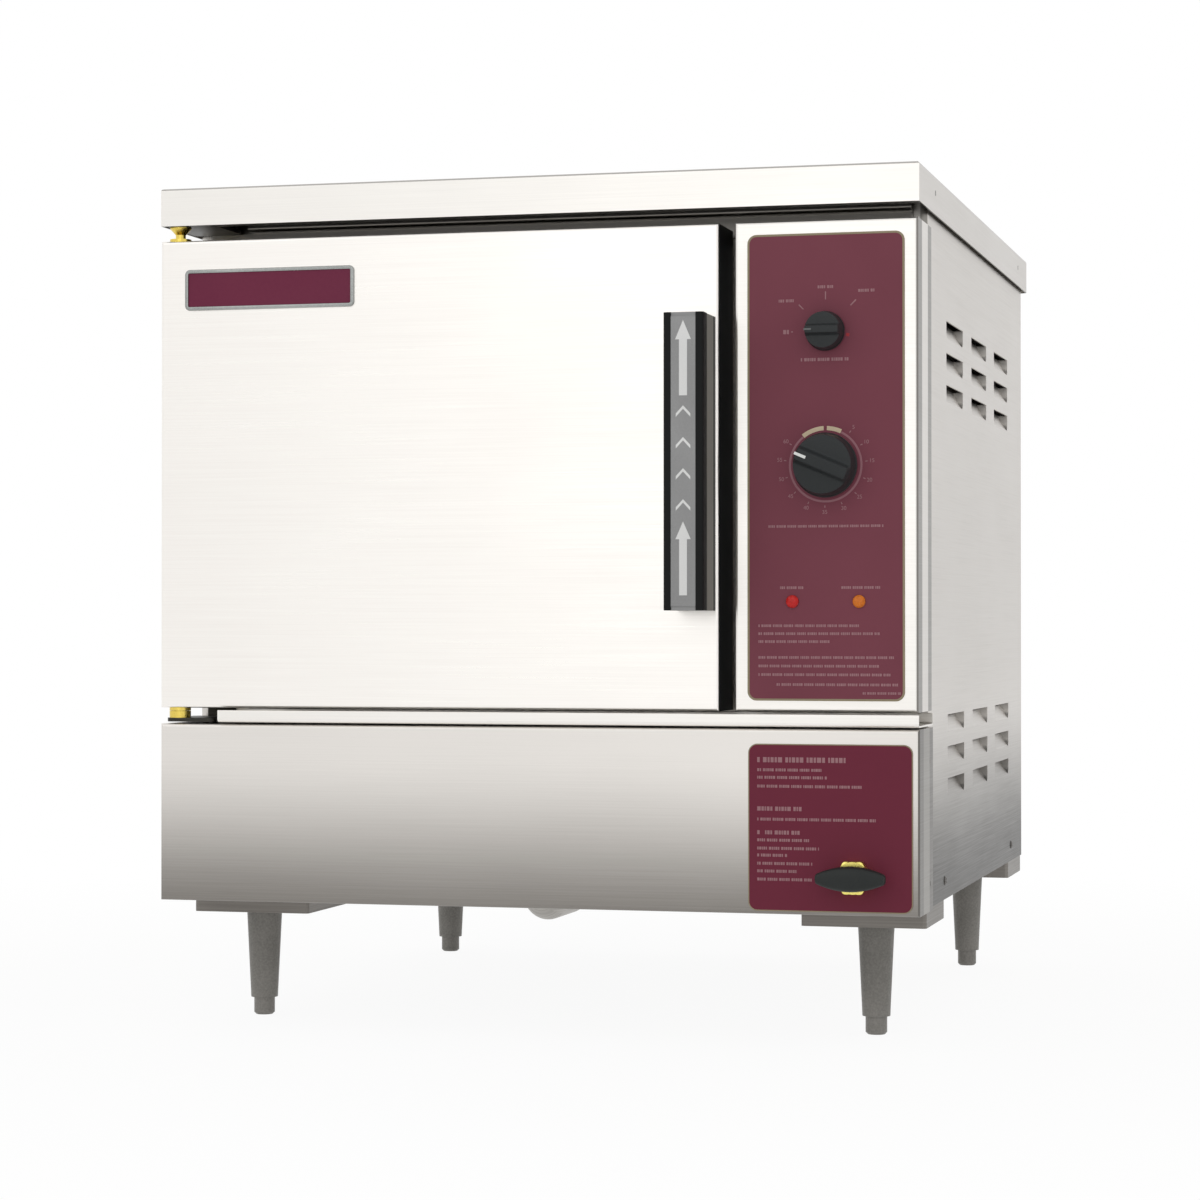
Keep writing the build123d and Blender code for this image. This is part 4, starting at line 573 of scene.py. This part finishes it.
several("printed_wording_blocks", [printed(outline, film_face) for outline in marks], mauve_ink,
        "printed_overlay", "cabinet")
several("selector_red_mark", [printed(band(dial_x, pick_z, 16 * mm, 18.5 * mm, 96, 104, 3), film_face)],
        red_ink, "printed_overlay", "cabinet")


def lettered(words, x, z, size):
    """Points and faces of a number, centred on (x, z), from the built-in plain typeface."""
    curve = bpy.data.curves.new("number", "FONT")
    curve.body = words
    curve.size = size
    curve.align_x = "CENTER"
    curve.align_y = "CENTER"
    curve.extrude = ink_thickness / 2
    holder = bpy.data.objects.new("number", curve)
    mesh = bpy.data.meshes.new_from_object(holder)
    flat_points = np.zeros(len(mesh.vertices) * 3)
    mesh.vertices.foreach_get("co", flat_points)
    flat_points = flat_points.reshape(-1, 3)
    points = np.stack([x + flat_points[:, 0], film_face - ink_thickness / 2 - flat_points[:, 2],
                       z + flat_points[:, 1]], -1)
    faces = [list(polygon.vertices) for polygon in mesh.polygons]
    bpy.data.objects.remove(holder)
    return points, faces


number_radius = 35.5 * mm
numbers = []
for number in range(dial_numbers):
    angle = math.radians(dial_start + dial_step * number)
    numbers.append(lettered(str(5 * (number + 1)), dial_x + number_radius * math.sin(angle),
                            dial_z + number_radius * math.cos(angle), 4.2 * mm))
several("dial_numbers", numbers, mauve_ink, "printed_overlay", "cabinet")

# Signal lamps: a red and an amber moulded acrylic lens, each with a low dome and a stepped rim,
# pushed through the panel; the real bodies behind it are black nylon, but here each lens runs back
# into the panel as one piece of the same acrylic.
lamp_spacing = 51.1 * mm
lamp_profile = np.array([[0.0, 26], [6.3, 26], [6.3, 0.0], [4.8, 0.0], [4.8, -1.7], [4.4, -2.1],
                         [4.1, -2.1], [3.9, -2.5], [3.2, -2.9], [2.2, -3.0], [1.0, -3.1],
                         [0.0, -3.1]]) * mm


def turned(x, z, y, profile, segments=48):
    """Turn a profile of (radius, depth) points about the Y axis through (x, z)."""
    angle = np.linspace(0, 2 * math.pi, segments, endpoint=False)
    radius = profile[:, :1]
    depth = np.broadcast_to(y + profile[:, 1:], (len(profile), segments))
    return np.stack([x + radius * np.cos(angle), depth, z + radius * np.sin(angle)], -1)


def lens_plastic(name, light, dark):
    """Tinted acrylic: glossy, a little light passes, and the tint clouds slightly."""
    material = speckled(name, light, dark, 0.0, 0.16, 1.5 * mm, 0.01 * mm, 1.49)
    shader = material.node_tree.nodes["Principled BSDF"]
    shader.inputs["Coat Weight"].default_value = 0.15
    shader.inputs["Coat Roughness"].default_value = 0.05
    shader.inputs["Specular IOR Level"].default_value = 0.2
    return material


for name, side, light, dark in (("lamp_lens_red", -1, "CE1E1A", "A81414"),
                                ("lamp_lens_amber", 1, "D9781C", "B85E12")):
    lens = surface(name, turned(dial_x + side * lamp_spacing / 2, lamp_z, door_front, lamp_profile),
                   lens_plastic("acrylic_" + name, light, dark), "lamp_plastic", "cabinet", 25)
    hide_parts("signal_lamps")

# Control knobs: compression-moulded phenolic, satin black. A low bar crosses each crown and
# carries a filled line that points to the printed marks: white on the timer, worn grey above it.
knob_segments = 160
knob_rings = 46
knob_back = film_face - 0.8 * mm
phenolic = speckled("satin_black_phenolic", "2A2D2E", "232627", 0.0, 0.42, 0.6 * mm, 0.02 * mm, 1.6)
phenolic.node_tree.nodes["Principled BSDF"].inputs["Specular IOR Level"].default_value = 0.2


def knob_surface(x, z, front, radius, turn, bar_width):
    """Front height = crown * (1 - 0.08 r ** 2) + bar * s(across), where s falls smoothly from 1 to
    0 at half the bar's width; the wall slopes out to a skirt."""
    angle = np.linspace(0, 2 * math.pi, knob_segments, endpoint=False)
    depth = knob_back - front
    crown = depth * 0.76
    share = np.linspace(1, 0, knob_rings)
    ring, around = np.meshgrid(share * radius * 0.9, angle, indexing="ij")
    across = np.abs(ring * np.sin(around - turn))
    edge = np.clip((across - bar_width / 2) / (bar_width * 0.4) + 0.5, 0, 1)
    bar = 1 - edge * edge * (3 - 2 * edge)
    fade = np.clip((0.9 * radius - ring) / (0.06 * radius), 0, 1)
    height = crown * (1 - 0.08 * (ring / radius) ** 2) + (depth - crown) * bar * (0.25 + 0.75 * fade)
    wall = np.array([[0.0, 1.0], [0.55, 1.0], [0.98, 1.0], [1.0, 0.97], [1.0, 0.88], [0.975, 0.85],
                     [0.955, 0.8], [0.93, 0.45], [0.915, 0.36]])
    wall_ring = np.repeat(wall[:, :1] * radius, knob_segments, 1)
    wall_height = np.repeat((1 - wall[:, 1:]) * depth, knob_segments, 1)
    ring = np.concatenate([wall_ring, ring])
    height = np.concatenate([wall_height, height])
    around = np.broadcast_to(angle, ring.shape)
    return np.stack([x + ring * np.cos(around), knob_back - height, z + ring * np.sin(around)], -1)


def pointer_line(x, z, front, radius, turn, width, inner):
    """Filled bar from the share inner of the radius to 0.88 of it, a hair proud of the knob's bar."""
    along = np.array([math.cos(turn), math.sin(turn)])
    across = np.array([-along[1], along[0]]) * width / 2
    ends = [inner * radius * along - across, 0.88 * radius * along - across,
            0.88 * radius * along + across, inner * radius * along + across]
    points, faces = printed(np.array(ends) + (x, z), 0)
    points[:, 1] = front + 0.6 * mm + 8 * points[:, 1]
    return points, faces


white_fill = speckled("white_filling_paint", "E9EAE8", "D8D9D6", 0.0, 0.5, 0.5 * mm, 0.01 * mm)
worn_fill = speckled("worn_grey_filling_paint", "5E6060", "505252", 0.0, 0.5, 0.5 * mm, 0.01 * mm)
for body, box, turn, bar_width, fill in (("selector", selector_box, math.pi, 7 * mm, worn_fill),
                                         ("timer", timer_box, math.radians(157), 11 * mm, white_fill)):
    x = (box[0].x + box[1].x) / 2
    z = (box[0].z + box[1].z) / 2
    radius = (box[1].x - box[0].x) / 2
    knob = surface(body + "_knob_moulding", knob_surface(x, z, box[0].y + 0.2 * mm, radius, turn, bar_width),
                   phenolic, "black_plastic", body, 40)
    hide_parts(body + "_knob")
    line_width = 0.16 * bar_width + 0.4 * mm
    several(body + "_pointer_line", [pointer_line(x, z, box[0].y, radius, turn, line_width, 0.5)], fill,
            "black_plastic", body)

# Drain valve: hexagon gland nut of brass with chamfered corners, and a lens-shaped handle of
# glass-filled nylon on the stem, with a raised hub.
valve_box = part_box("valve_handle")
valve_x = (valve_box[0].x + valve_box[1].x) / 2
valve_z = (valve_box[0].z + valve_box[1].z) / 2
nut_flat = 12.2 * mm      # from the centre to a flat
nut_length = 9 * mm
nut_angle = np.linspace(0, 2 * math.pi, 96, endpoint=False)
nut_limit = np.array([0.0, 0.5, 1.0, 1.12, 1.16, 1.16, 1.12, 1.0, 0.98])[:, None] * nut_flat
nut_depth = np.array([0.0, 0.0, 0.0, 0.6, 1.4, 7.4, 8.4, 8.9, 9.0])[:, None] * mm
nut_hexagon = nut_flat / np.cos(nut_angle % (math.pi / 3) - math.pi / 6)
nut_radius = np.minimum(nut_hexagon[None, :], nut_limit)
nut_grid = np.stack([valve_x + nut_radius * np.cos(nut_angle),
                     np.broadcast_to(film_face - nut_length + nut_depth, nut_radius.shape),
                     valve_z + nut_radius * np.sin(nut_angle)], -1)
nut_brass = speckled("bright_brass_nut", "F6E88A", "EBD869", 1.0, 0.3, 0.7 * mm, 0.01 * mm)
nut = surface("gland_nut_chamfered", nut_grid, nut_brass, "brass", "cabinet", 20)
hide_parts("stem_gland_nut")

valve_length = (valve_box[1].x - valve_box[0].x) / 2
valve_height = (valve_box[1].z - valve_box[0].z) / 2
valve_front = valve_box[0].y
valve_depth = valve_box[1].y - valve_front
stations = np.concatenate([[-1, -0.995, -0.98], np.linspace(-0.95, 0.95, 39), [0.98, 0.995, 1]])
station_round = np.array([0.0, 0.62, 0.86] + [1.0] * 39 + [0.86, 0.62, 0.0])
valve_tip_half = 3.4 * mm
valve_hub_reach = 9 * mm


def lens_grid():
    """Section at share u of the length: half-height from tip to crest by 1 - u ** 2, half-depth
    the same but flatter, with a rounded-square outline |cos| ** 0.55, |sin| ** 0.7."""
    angle = np.linspace(0, 2 * math.pi, 64, endpoint=False)
    u = stations[:, None]
    crest = valve_height - valve_tip_half
    half_height = (valve_tip_half + crest * (1 - u ** 2)) * station_round[:, None]
    half_depth = (0.36 + 0.14 * (1 - u ** 2)) * valve_depth * station_round[:, None]
    hub = np.exp(-(u * valve_length / valve_hub_reach) ** 6)
    forward = np.sign(np.cos(angle)) * np.abs(np.cos(angle)) ** 0.55
    upward = np.sign(np.sin(angle)) * np.abs(np.sin(angle)) ** 0.7
    middle = valve_front + valve_depth / 2
    depth = middle - half_depth * forward * (0.9 + 0.1 * hub * (forward > 0))
    return np.stack([np.broadcast_to(valve_x + u * valve_length, depth.shape), depth,
                     valve_z + half_height * upward], -1)


valve_nylon = speckled("glass_filled_nylon", "1E2221", "171B1A", 0.0, 0.5, 0.5 * mm, 0.04 * mm, 1.53)
valve_nylon.node_tree.nodes["Principled BSDF"].inputs["Specular IOR Level"].default_value = 0.3
valve_handle = surface("valve_handle_moulding", lens_grid(), valve_nylon, "black_plastic",
                       "drain_valve", 50)
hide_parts("valve_handle")

# Door: a folded stainless pan, brushed level, with its free edge coloured black as painted shade of
# the gap; behind it the embossed liner, and round the liner a silicone gasket that meets the frame.
door_finish = brushed_steel("brushed_304_stainless_door", "FBF8F3", "F5F1EC", 0.3)
black_edge(door_finish, "GREATER_THAN", door_box[1].x - 0.6 * mm, door_front + 2.2 * mm)
wear(door_finish, "door_outer_panel")
wear(cavity_finish, "door_liner", "latch_hook")

gasket_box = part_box("door_gasket")
silicone = speckled("grey_silicone_rubber", "8E8D88", "7C7B76", 0.0, 0.62, 0.8 * mm, 0.03 * mm, 1.42)
gasket_corner = 24 * mm
gasket_rise = gasket_box[1].y - gasket_box[0].y
bulb = np.array([[-9, 0], [-9, 2.2], [-8.2, 3.4], [-7.6, 5.5], [-7.2, 9], [-6.6, 12.5], [-5.4, 14.6],
                 [-4.5, 15.3], [-3.6, 14.6], [-2.4, 12.5], [-1.8, 9], [-1.4, 5.5], [-0.8, 3.4], [0, 2.2],
                 [0, 0]]) * mm
bulb[:, 1] *= -gasket_rise / bulb[:, 1].max()
gasket_limits = (gasket_box[0].x, gasket_box[1].x, gasket_box[0].z, gasket_box[1].z)
gasket = several("door_gasket_bulb", [carried(gasket_limits, gasket_corner, bulb, gasket_box[0].y)],
                 silicone, "silicone_rubber", "door", 60)
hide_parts("door_gasket")

# Nameplate: a moulded plate on the door's face, with a satin chrome-plated rim round a plain field
# of burgundy enamel.
plate_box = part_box("nameplate")
plate_limits = (plate_box[0].x, plate_box[1].x, plate_box[0].z, plate_box[1].z)
plate_corner = 4 * mm
field_inset = 2.6 * mm
field_corner = 1.5 * mm
rim_profile = np.array([[0, 0], [0, 1.1], [-0.5, 1.8], [-1.2, 2.0], [-2.3, 2.0], [-2.8, 1.7], [-3.0, 1.1],
                        [-3.0, 0]]) * mm
chrome = speckled("satin_chromed_abs", "ABADAB", "939694", 1.0, 0.25, 1.0 * mm, 0.005 * mm)
rim = several("nameplate_rim", [carried(plate_limits, plate_corner, rim_profile, plate_box[1].y)], chrome,
              "nameplate_plastic", "door", 40)
field_finish = speckled("burgundy_enamel_field", "6F2A42", "6B2740", 0.0, 0.4, 2.5 * mm, 0.002 * mm)
field_finish.node_tree.nodes["Principled BSDF"].inputs["Specular IOR Level"].default_value = 0.15
field_path = rounded_path(plate_box[0].x + field_inset, plate_box[1].x - field_inset,
                          plate_box[0].z + field_inset, plate_box[1].z - field_inset, field_corner)[0]
field_steps = np.array([[1.0, 0.0], [1.0, -0.9], [0.997, -1.0]])
plate_centre = np.array([(plate_box[0].x + plate_box[1].x) / 2,
                         (plate_box[0].z + plate_box[1].z) / 2])
field_grid = plate_centre + field_steps[:, None, :1] * (field_path - plate_centre)[None]
field_y = np.broadcast_to(plate_box[1].y + field_steps[:, None, 1] * mm, field_grid.shape[:2])
plate_field = surface("nameplate_field", np.stack([field_grid[..., 0], field_y, field_grid[..., 1]], -1),
                      field_finish, "nameplate_plastic", "door")
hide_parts("nameplate")
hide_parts("nameplate")

# Handle: a black extruded channel that slides up on a rail, with a painted grey reflection on its
# neck and a grey strip let into its face; the strip carries white arrows that show which way it
# lifts. The neck is nearly as wide as the head, and a tab goes from it through the door to the latch.
handle_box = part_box("handle_grip")
strip_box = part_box("handle_face_plate")
strip_face = strip_box[0].y
handle_x = (handle_box[0].x + handle_box[1].x) / 2
handle_foot = door_front - 0.5 * mm
head_half = (handle_box[1].x - handle_box[0].x) / 2
neck_half = head_half - 0.7 * mm
head_depth = 14 * mm
grip_corner = 2.5 * mm
lip_rise = 1 * mm
lip_inset = 0.3 * mm
channel_wall = 3 * mm
strip_pocket = 1 * mm
strip_play = 0.1 * mm


def closed_end(outline, mouth):
    """Points of the same outline with the inner ones laid along the mouth's line, so it is filled."""
    filled = outline.copy()
    filled[mouth, 1] = handle_foot
    filled[mouth, 0] = np.linspace(outline[mouth[0], 0], outline[mouth[-1], 0], len(mouth))
    return filled


def grip_channel():
    """Section of the channel: a head with corners rounded by quarter circles, a straight neck and
    a hollow that opens to the door; the section runs up the handle and is filled at both ends."""
    turn = np.linspace(0, math.pi / 2, 6)
    corner = np.stack([np.sin(turn), 1 - np.cos(turn)], -1) * grip_corner
    front = handle_box[0].y
    pocket_half = strip_box[1].x - handle_x + strip_play
    right = [(pocket_half, front + strip_pocket), (pocket_half, front)]
    right += [(head_half - grip_corner + x, front + y) for x, y in corner]
    right += [(head_half, front + head_depth - lip_rise), (head_half - lip_inset, front + head_depth),
              (neck_half, front + head_depth), (neck_half, handle_foot)]
    left = [(-x, y) for x, y in right[::-1]]
    hollow = neck_half - channel_wall
    inner = [(hollow, handle_foot), (hollow, front + channel_wall), (-hollow, front + channel_wall),
             (-hollow, handle_foot)]
    outline = np.array(right + inner + left)
    mouth = np.arange(len(right), len(right) + 4)
    low, high = handle_box[0].z, handle_box[1].z
    filled = closed_end(outline, mouth)
    rows = [(filled, low), (filled, low + channel_wall), (outline, low + channel_wall),
            (outline, high - channel_wall), (filled, high - channel_wall), (filled, high)]
    return np.stack([np.stack([handle_x + section[:, 0], section[:, 1], np.full(len(section), z)], -1)
                     for section, z in rows])


def box_part(x0, x1, y0, y1, z0, z1):
    """Points and faces of a plain block."""
    points = np.array([(x, y, z) for x in (x0, x1) for y in (y0, y1) for z in (z0, z1)])
    return points, [[0, 1, 3, 2], [4, 6, 7, 5], [0, 4, 5, 1], [2, 3, 7, 6], [0, 2, 6, 4], [1, 5, 7, 3]]


grip, grip_tree, grip_shader, grip_place = new_finish("black_anodised_aluminium_with_painted_reflection", 0.0, 0.45)
grip_shader.inputs["Specular IOR Level"].default_value = 0.15
grip_lines = noise_at(grip_tree, grip_place, (1100, 1100, 9))
grip_tree.links.new(between(grip_tree, grip_lines, "0C0D0D", "131414"), grip_shader.inputs["Base Color"])
neck_start = handle_box[0].y + head_depth + 0.5 * mm
neck_reach = (handle_foot - 6 * mm - neck_start) / 2
# Painted reflection: the neck's sides are coloured grey where the bright surroundings show in them.
toned(grip, compared(grip_tree, "place", 1, "COMPARE", neck_start + neck_reach, neck_reach), "8C8A83")
toned(grip, both(grip_tree, compared(grip_tree, "place", 1, "LESS_THAN", handle_box[0].y + 1.2 * mm),
                 compared(grip_tree, "place", 0, "COMPARE", handle_x, strip_box[1].x - handle_x)), "949494")
grip_bump = node(grip_tree, "ShaderNodeBump", {"Strength": 0.2, "Distance": 0.02 * mm},
                 {"Height": grip_lines})
grip_tree.links.new(grip_bump.outputs[0], grip_shader.inputs["Normal"])
channel = surface("handle_channel", grip_channel(), grip, "black_plastic", "handle", 40)
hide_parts("handle_grip")
tab_half_width = 3 * mm
tab_half_height = 4 * mm      # also the radius of the solid tab's nose, before which this tab ends
tab_start = handle_box[0].y + 2 * mm
tab_end = handle_box[1].y - tab_half_height
tab_middle = (door_box[0].z + door_box[1].z) / 2 + 2 * mm
tab = several("handle_tab", [box_part(handle_x - tab_half_width, handle_x + tab_half_width, tab_start,
                                      tab_end, tab_middle - tab_half_height,
                                      tab_middle + tab_half_height)], grip, "black_plastic", "handle")
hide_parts("handle_grip")
wear(nylon, "handle_rail")
strip_finish = speckled("grey_anodised_strip", "949494", "878787", 0.35, 0.45, 0.7 * mm, 0.01 * mm)
wear(strip_finish, "handle_face_plate")


def up_arrow(top, length, head, half_head, half_shaft):
    """Outline of an arrow that points up, centred on the handle."""
    outline = np.array([(0, top), (half_head, top - head), (half_shaft, top - head),
                        (half_shaft, top - length), (-half_shaft, top - length),
                        (-half_shaft, top - head), (-half_head, top - head)])
    return outline + (handle_x, 0)


def chevron(middle, half, rise, thick):
    """Outline of a small upward chevron."""
    foot = middle - rise / 2
    outline = np.array([(0, middle + rise), (half, foot), (half, foot - thick),
                        (0, middle + rise - thick), (-half, foot - thick), (-half, foot)])
    return outline + (handle_x, 0)


arrow_prints = [printed(up_arrow(549.4 * mm, 56.6 * mm, 14.5 * mm, 6.1 * mm, 3.1 * mm), strip_face),
                printed(up_arrow(398.2 * mm, 55.4 * mm, 13.3 * mm, 5.9 * mm, 3.0 * mm), strip_face)]
arrow_prints += [printed(chevron(middle * mm, 5.6 * mm, 4 * mm, 2.6 * mm), strip_face)
                 for middle in (481.3, 457.6, 434.2, 410.9)]
arrow_ink = speckled("white_screen_ink", "E2E2E1", "D5D5D4", 0.0, 0.5, 0.6 * mm, 0.01 * mm)
several("handle_arrows", arrow_prints, arrow_ink, "grey_plastic", "handle")

# Pale studio floor and soft light: a matt sheet under the object that keeps its shadow, a broad
# lamp straight in front and a weaker, higher one from the left.
floor_reach = 6.0
floor_count = 25
floor_drop = 0.2 * mm
floor_steps = np.linspace(-floor_reach, floor_reach, floor_count)
floor_x, floor_y = np.meshgrid(floor_steps, floor_steps, indexing="ij")
floor_points = np.stack([floor_x, floor_y, np.full_like(floor_x, -floor_drop)], -1).reshape(-1, 3)
floor_index = np.arange(floor_count ** 2).reshape(floor_count, floor_count)
floor_faces = np.stack([floor_index[:-1, :-1], floor_index[1:, :-1], floor_index[1:, 1:],
                        floor_index[:-1, 1:]], -1).reshape(-1, 4)
floor_mesh = bpy.data.meshes.new("studio_floor")
floor_mesh.from_pydata(floor_points.tolist(), [], floor_faces.tolist())
floor = bpy.data.objects.new("studio_floor", floor_mesh)
bpy.context.scene.collection.objects.link(floor)


def seen_directly(tree):
    """1 for rays from the camera and through mirrors or glass, 0 for light on the object."""
    path = node(tree, "ShaderNodeLightPath")
    pair = node(tree, "ShaderNodeMath", {"operation": "MAXIMUM"},
                {0: path.outputs["Is Camera Ray"], 1: path.outputs["Is Glossy Ray"]})
    return node(tree, "ShaderNodeMath", {"operation": "MAXIMUM"},
                {0: pair.outputs[0], 1: path.outputs["Is Transmission Ray"]}).outputs[0]


paper, paper_tree, paper_shader, paper_place = new_finish("matt_backdrop_paper", 0.0, 0.9)
paper_cloud = noise_at(paper_tree, paper_place, (3, 3, 3))
paper_tree.links.new(between(paper_tree, paper_cloud, "EFEFEE", "EAEAE9"), paper_shader.inputs["Base Color"])
paper_far = node(paper_tree, "ShaderNodeVectorMath", {"operation": "LENGTH"},
                 {0: paper_place}).outputs["Value"]
paper_share = range_of(paper_tree, paper_far, 0.93, 1.0, 0.6, 1.4)
paper_mask = node(paper_tree, "ShaderNodeMath", {"operation": "MULTIPLY"},
                  {0: paper_share, 1: seen_directly(paper_tree)})
paper_white = node(paper_tree, "ShaderNodeEmission", {"Strength": 1.0})
paper_mix = node(paper_tree, "ShaderNodeMixShader", {},
                 {0: paper_mask.outputs[0], 1: paper_shader.outputs[0], 2: paper_white.outputs[0]})
paper_tree.links.new(paper_mix.outputs[0], paper_tree.nodes["Material Output"].inputs["Surface"])
floor_mesh.materials.append(paper)

world = bpy.data.worlds.new("studio")
world.use_nodes = True
bpy.context.scene.world = world
world_tree = world.node_tree
world_tree.nodes.clear()
room = node(world_tree, "ShaderNodeBackground", {"Color": (1, 1, 1, 1), "Strength": 0.85})
backdrop = node(world_tree, "ShaderNodeBackground", {"Color": (1, 1, 1, 1), "Strength": 1.0})
world_mix = node(world_tree, "ShaderNodeMixShader", {},
                 {0: seen_directly(world_tree), 1: room.outputs[0], 2: backdrop.outputs[0]})
node(world_tree, "ShaderNodeOutputWorld", {}, {0: world_mix.outputs[0]})


def soft_lamp(name, place, aim, size, power):
    """Square area lamp at a place, turned to its aim."""
    lamp = bpy.data.lights.new(name, "AREA")
    lamp.size = size
    lamp.energy = power
    holder = bpy.data.objects.new(name, lamp)
    holder.location = place
    way = np.array(aim, float) - np.array(place, float)
    flat_length = math.hypot(way[0], way[1])
    holder.rotation_euler = (math.atan2(flat_length, -way[2]), 0, math.atan2(-way[0], way[1]))
    bpy.context.scene.collection.objects.link(holder)


lamp_aim = (0, 0, 0.35)
soft_lamp("key_lamp", (0.0, -3.4, 1.2), lamp_aim, 2.0, 5)
soft_lamp("fill_lamp", (-2.0, -2.6, 2.2), lamp_aim, 1.6, 3)

# Camera at the photograph's place: level, a little to the right, turned back to the left.
camera_data = bpy.data.cameras.new("photo_camera")
camera_data.sensor_width = 36
camera_data.lens = 93.68
camera = bpy.data.objects.new("photo_camera", camera_data)
camera.location = (0.66234, -2.65468, 0.32052)
camera.rotation_euler = (math.radians(90.46), 0, math.radians(14.58))
bpy.context.scene.collection.objects.link(camera)
bpy.context.scene.camera = camera
bpy.context.scene.view_settings.view_transform = "Standard"
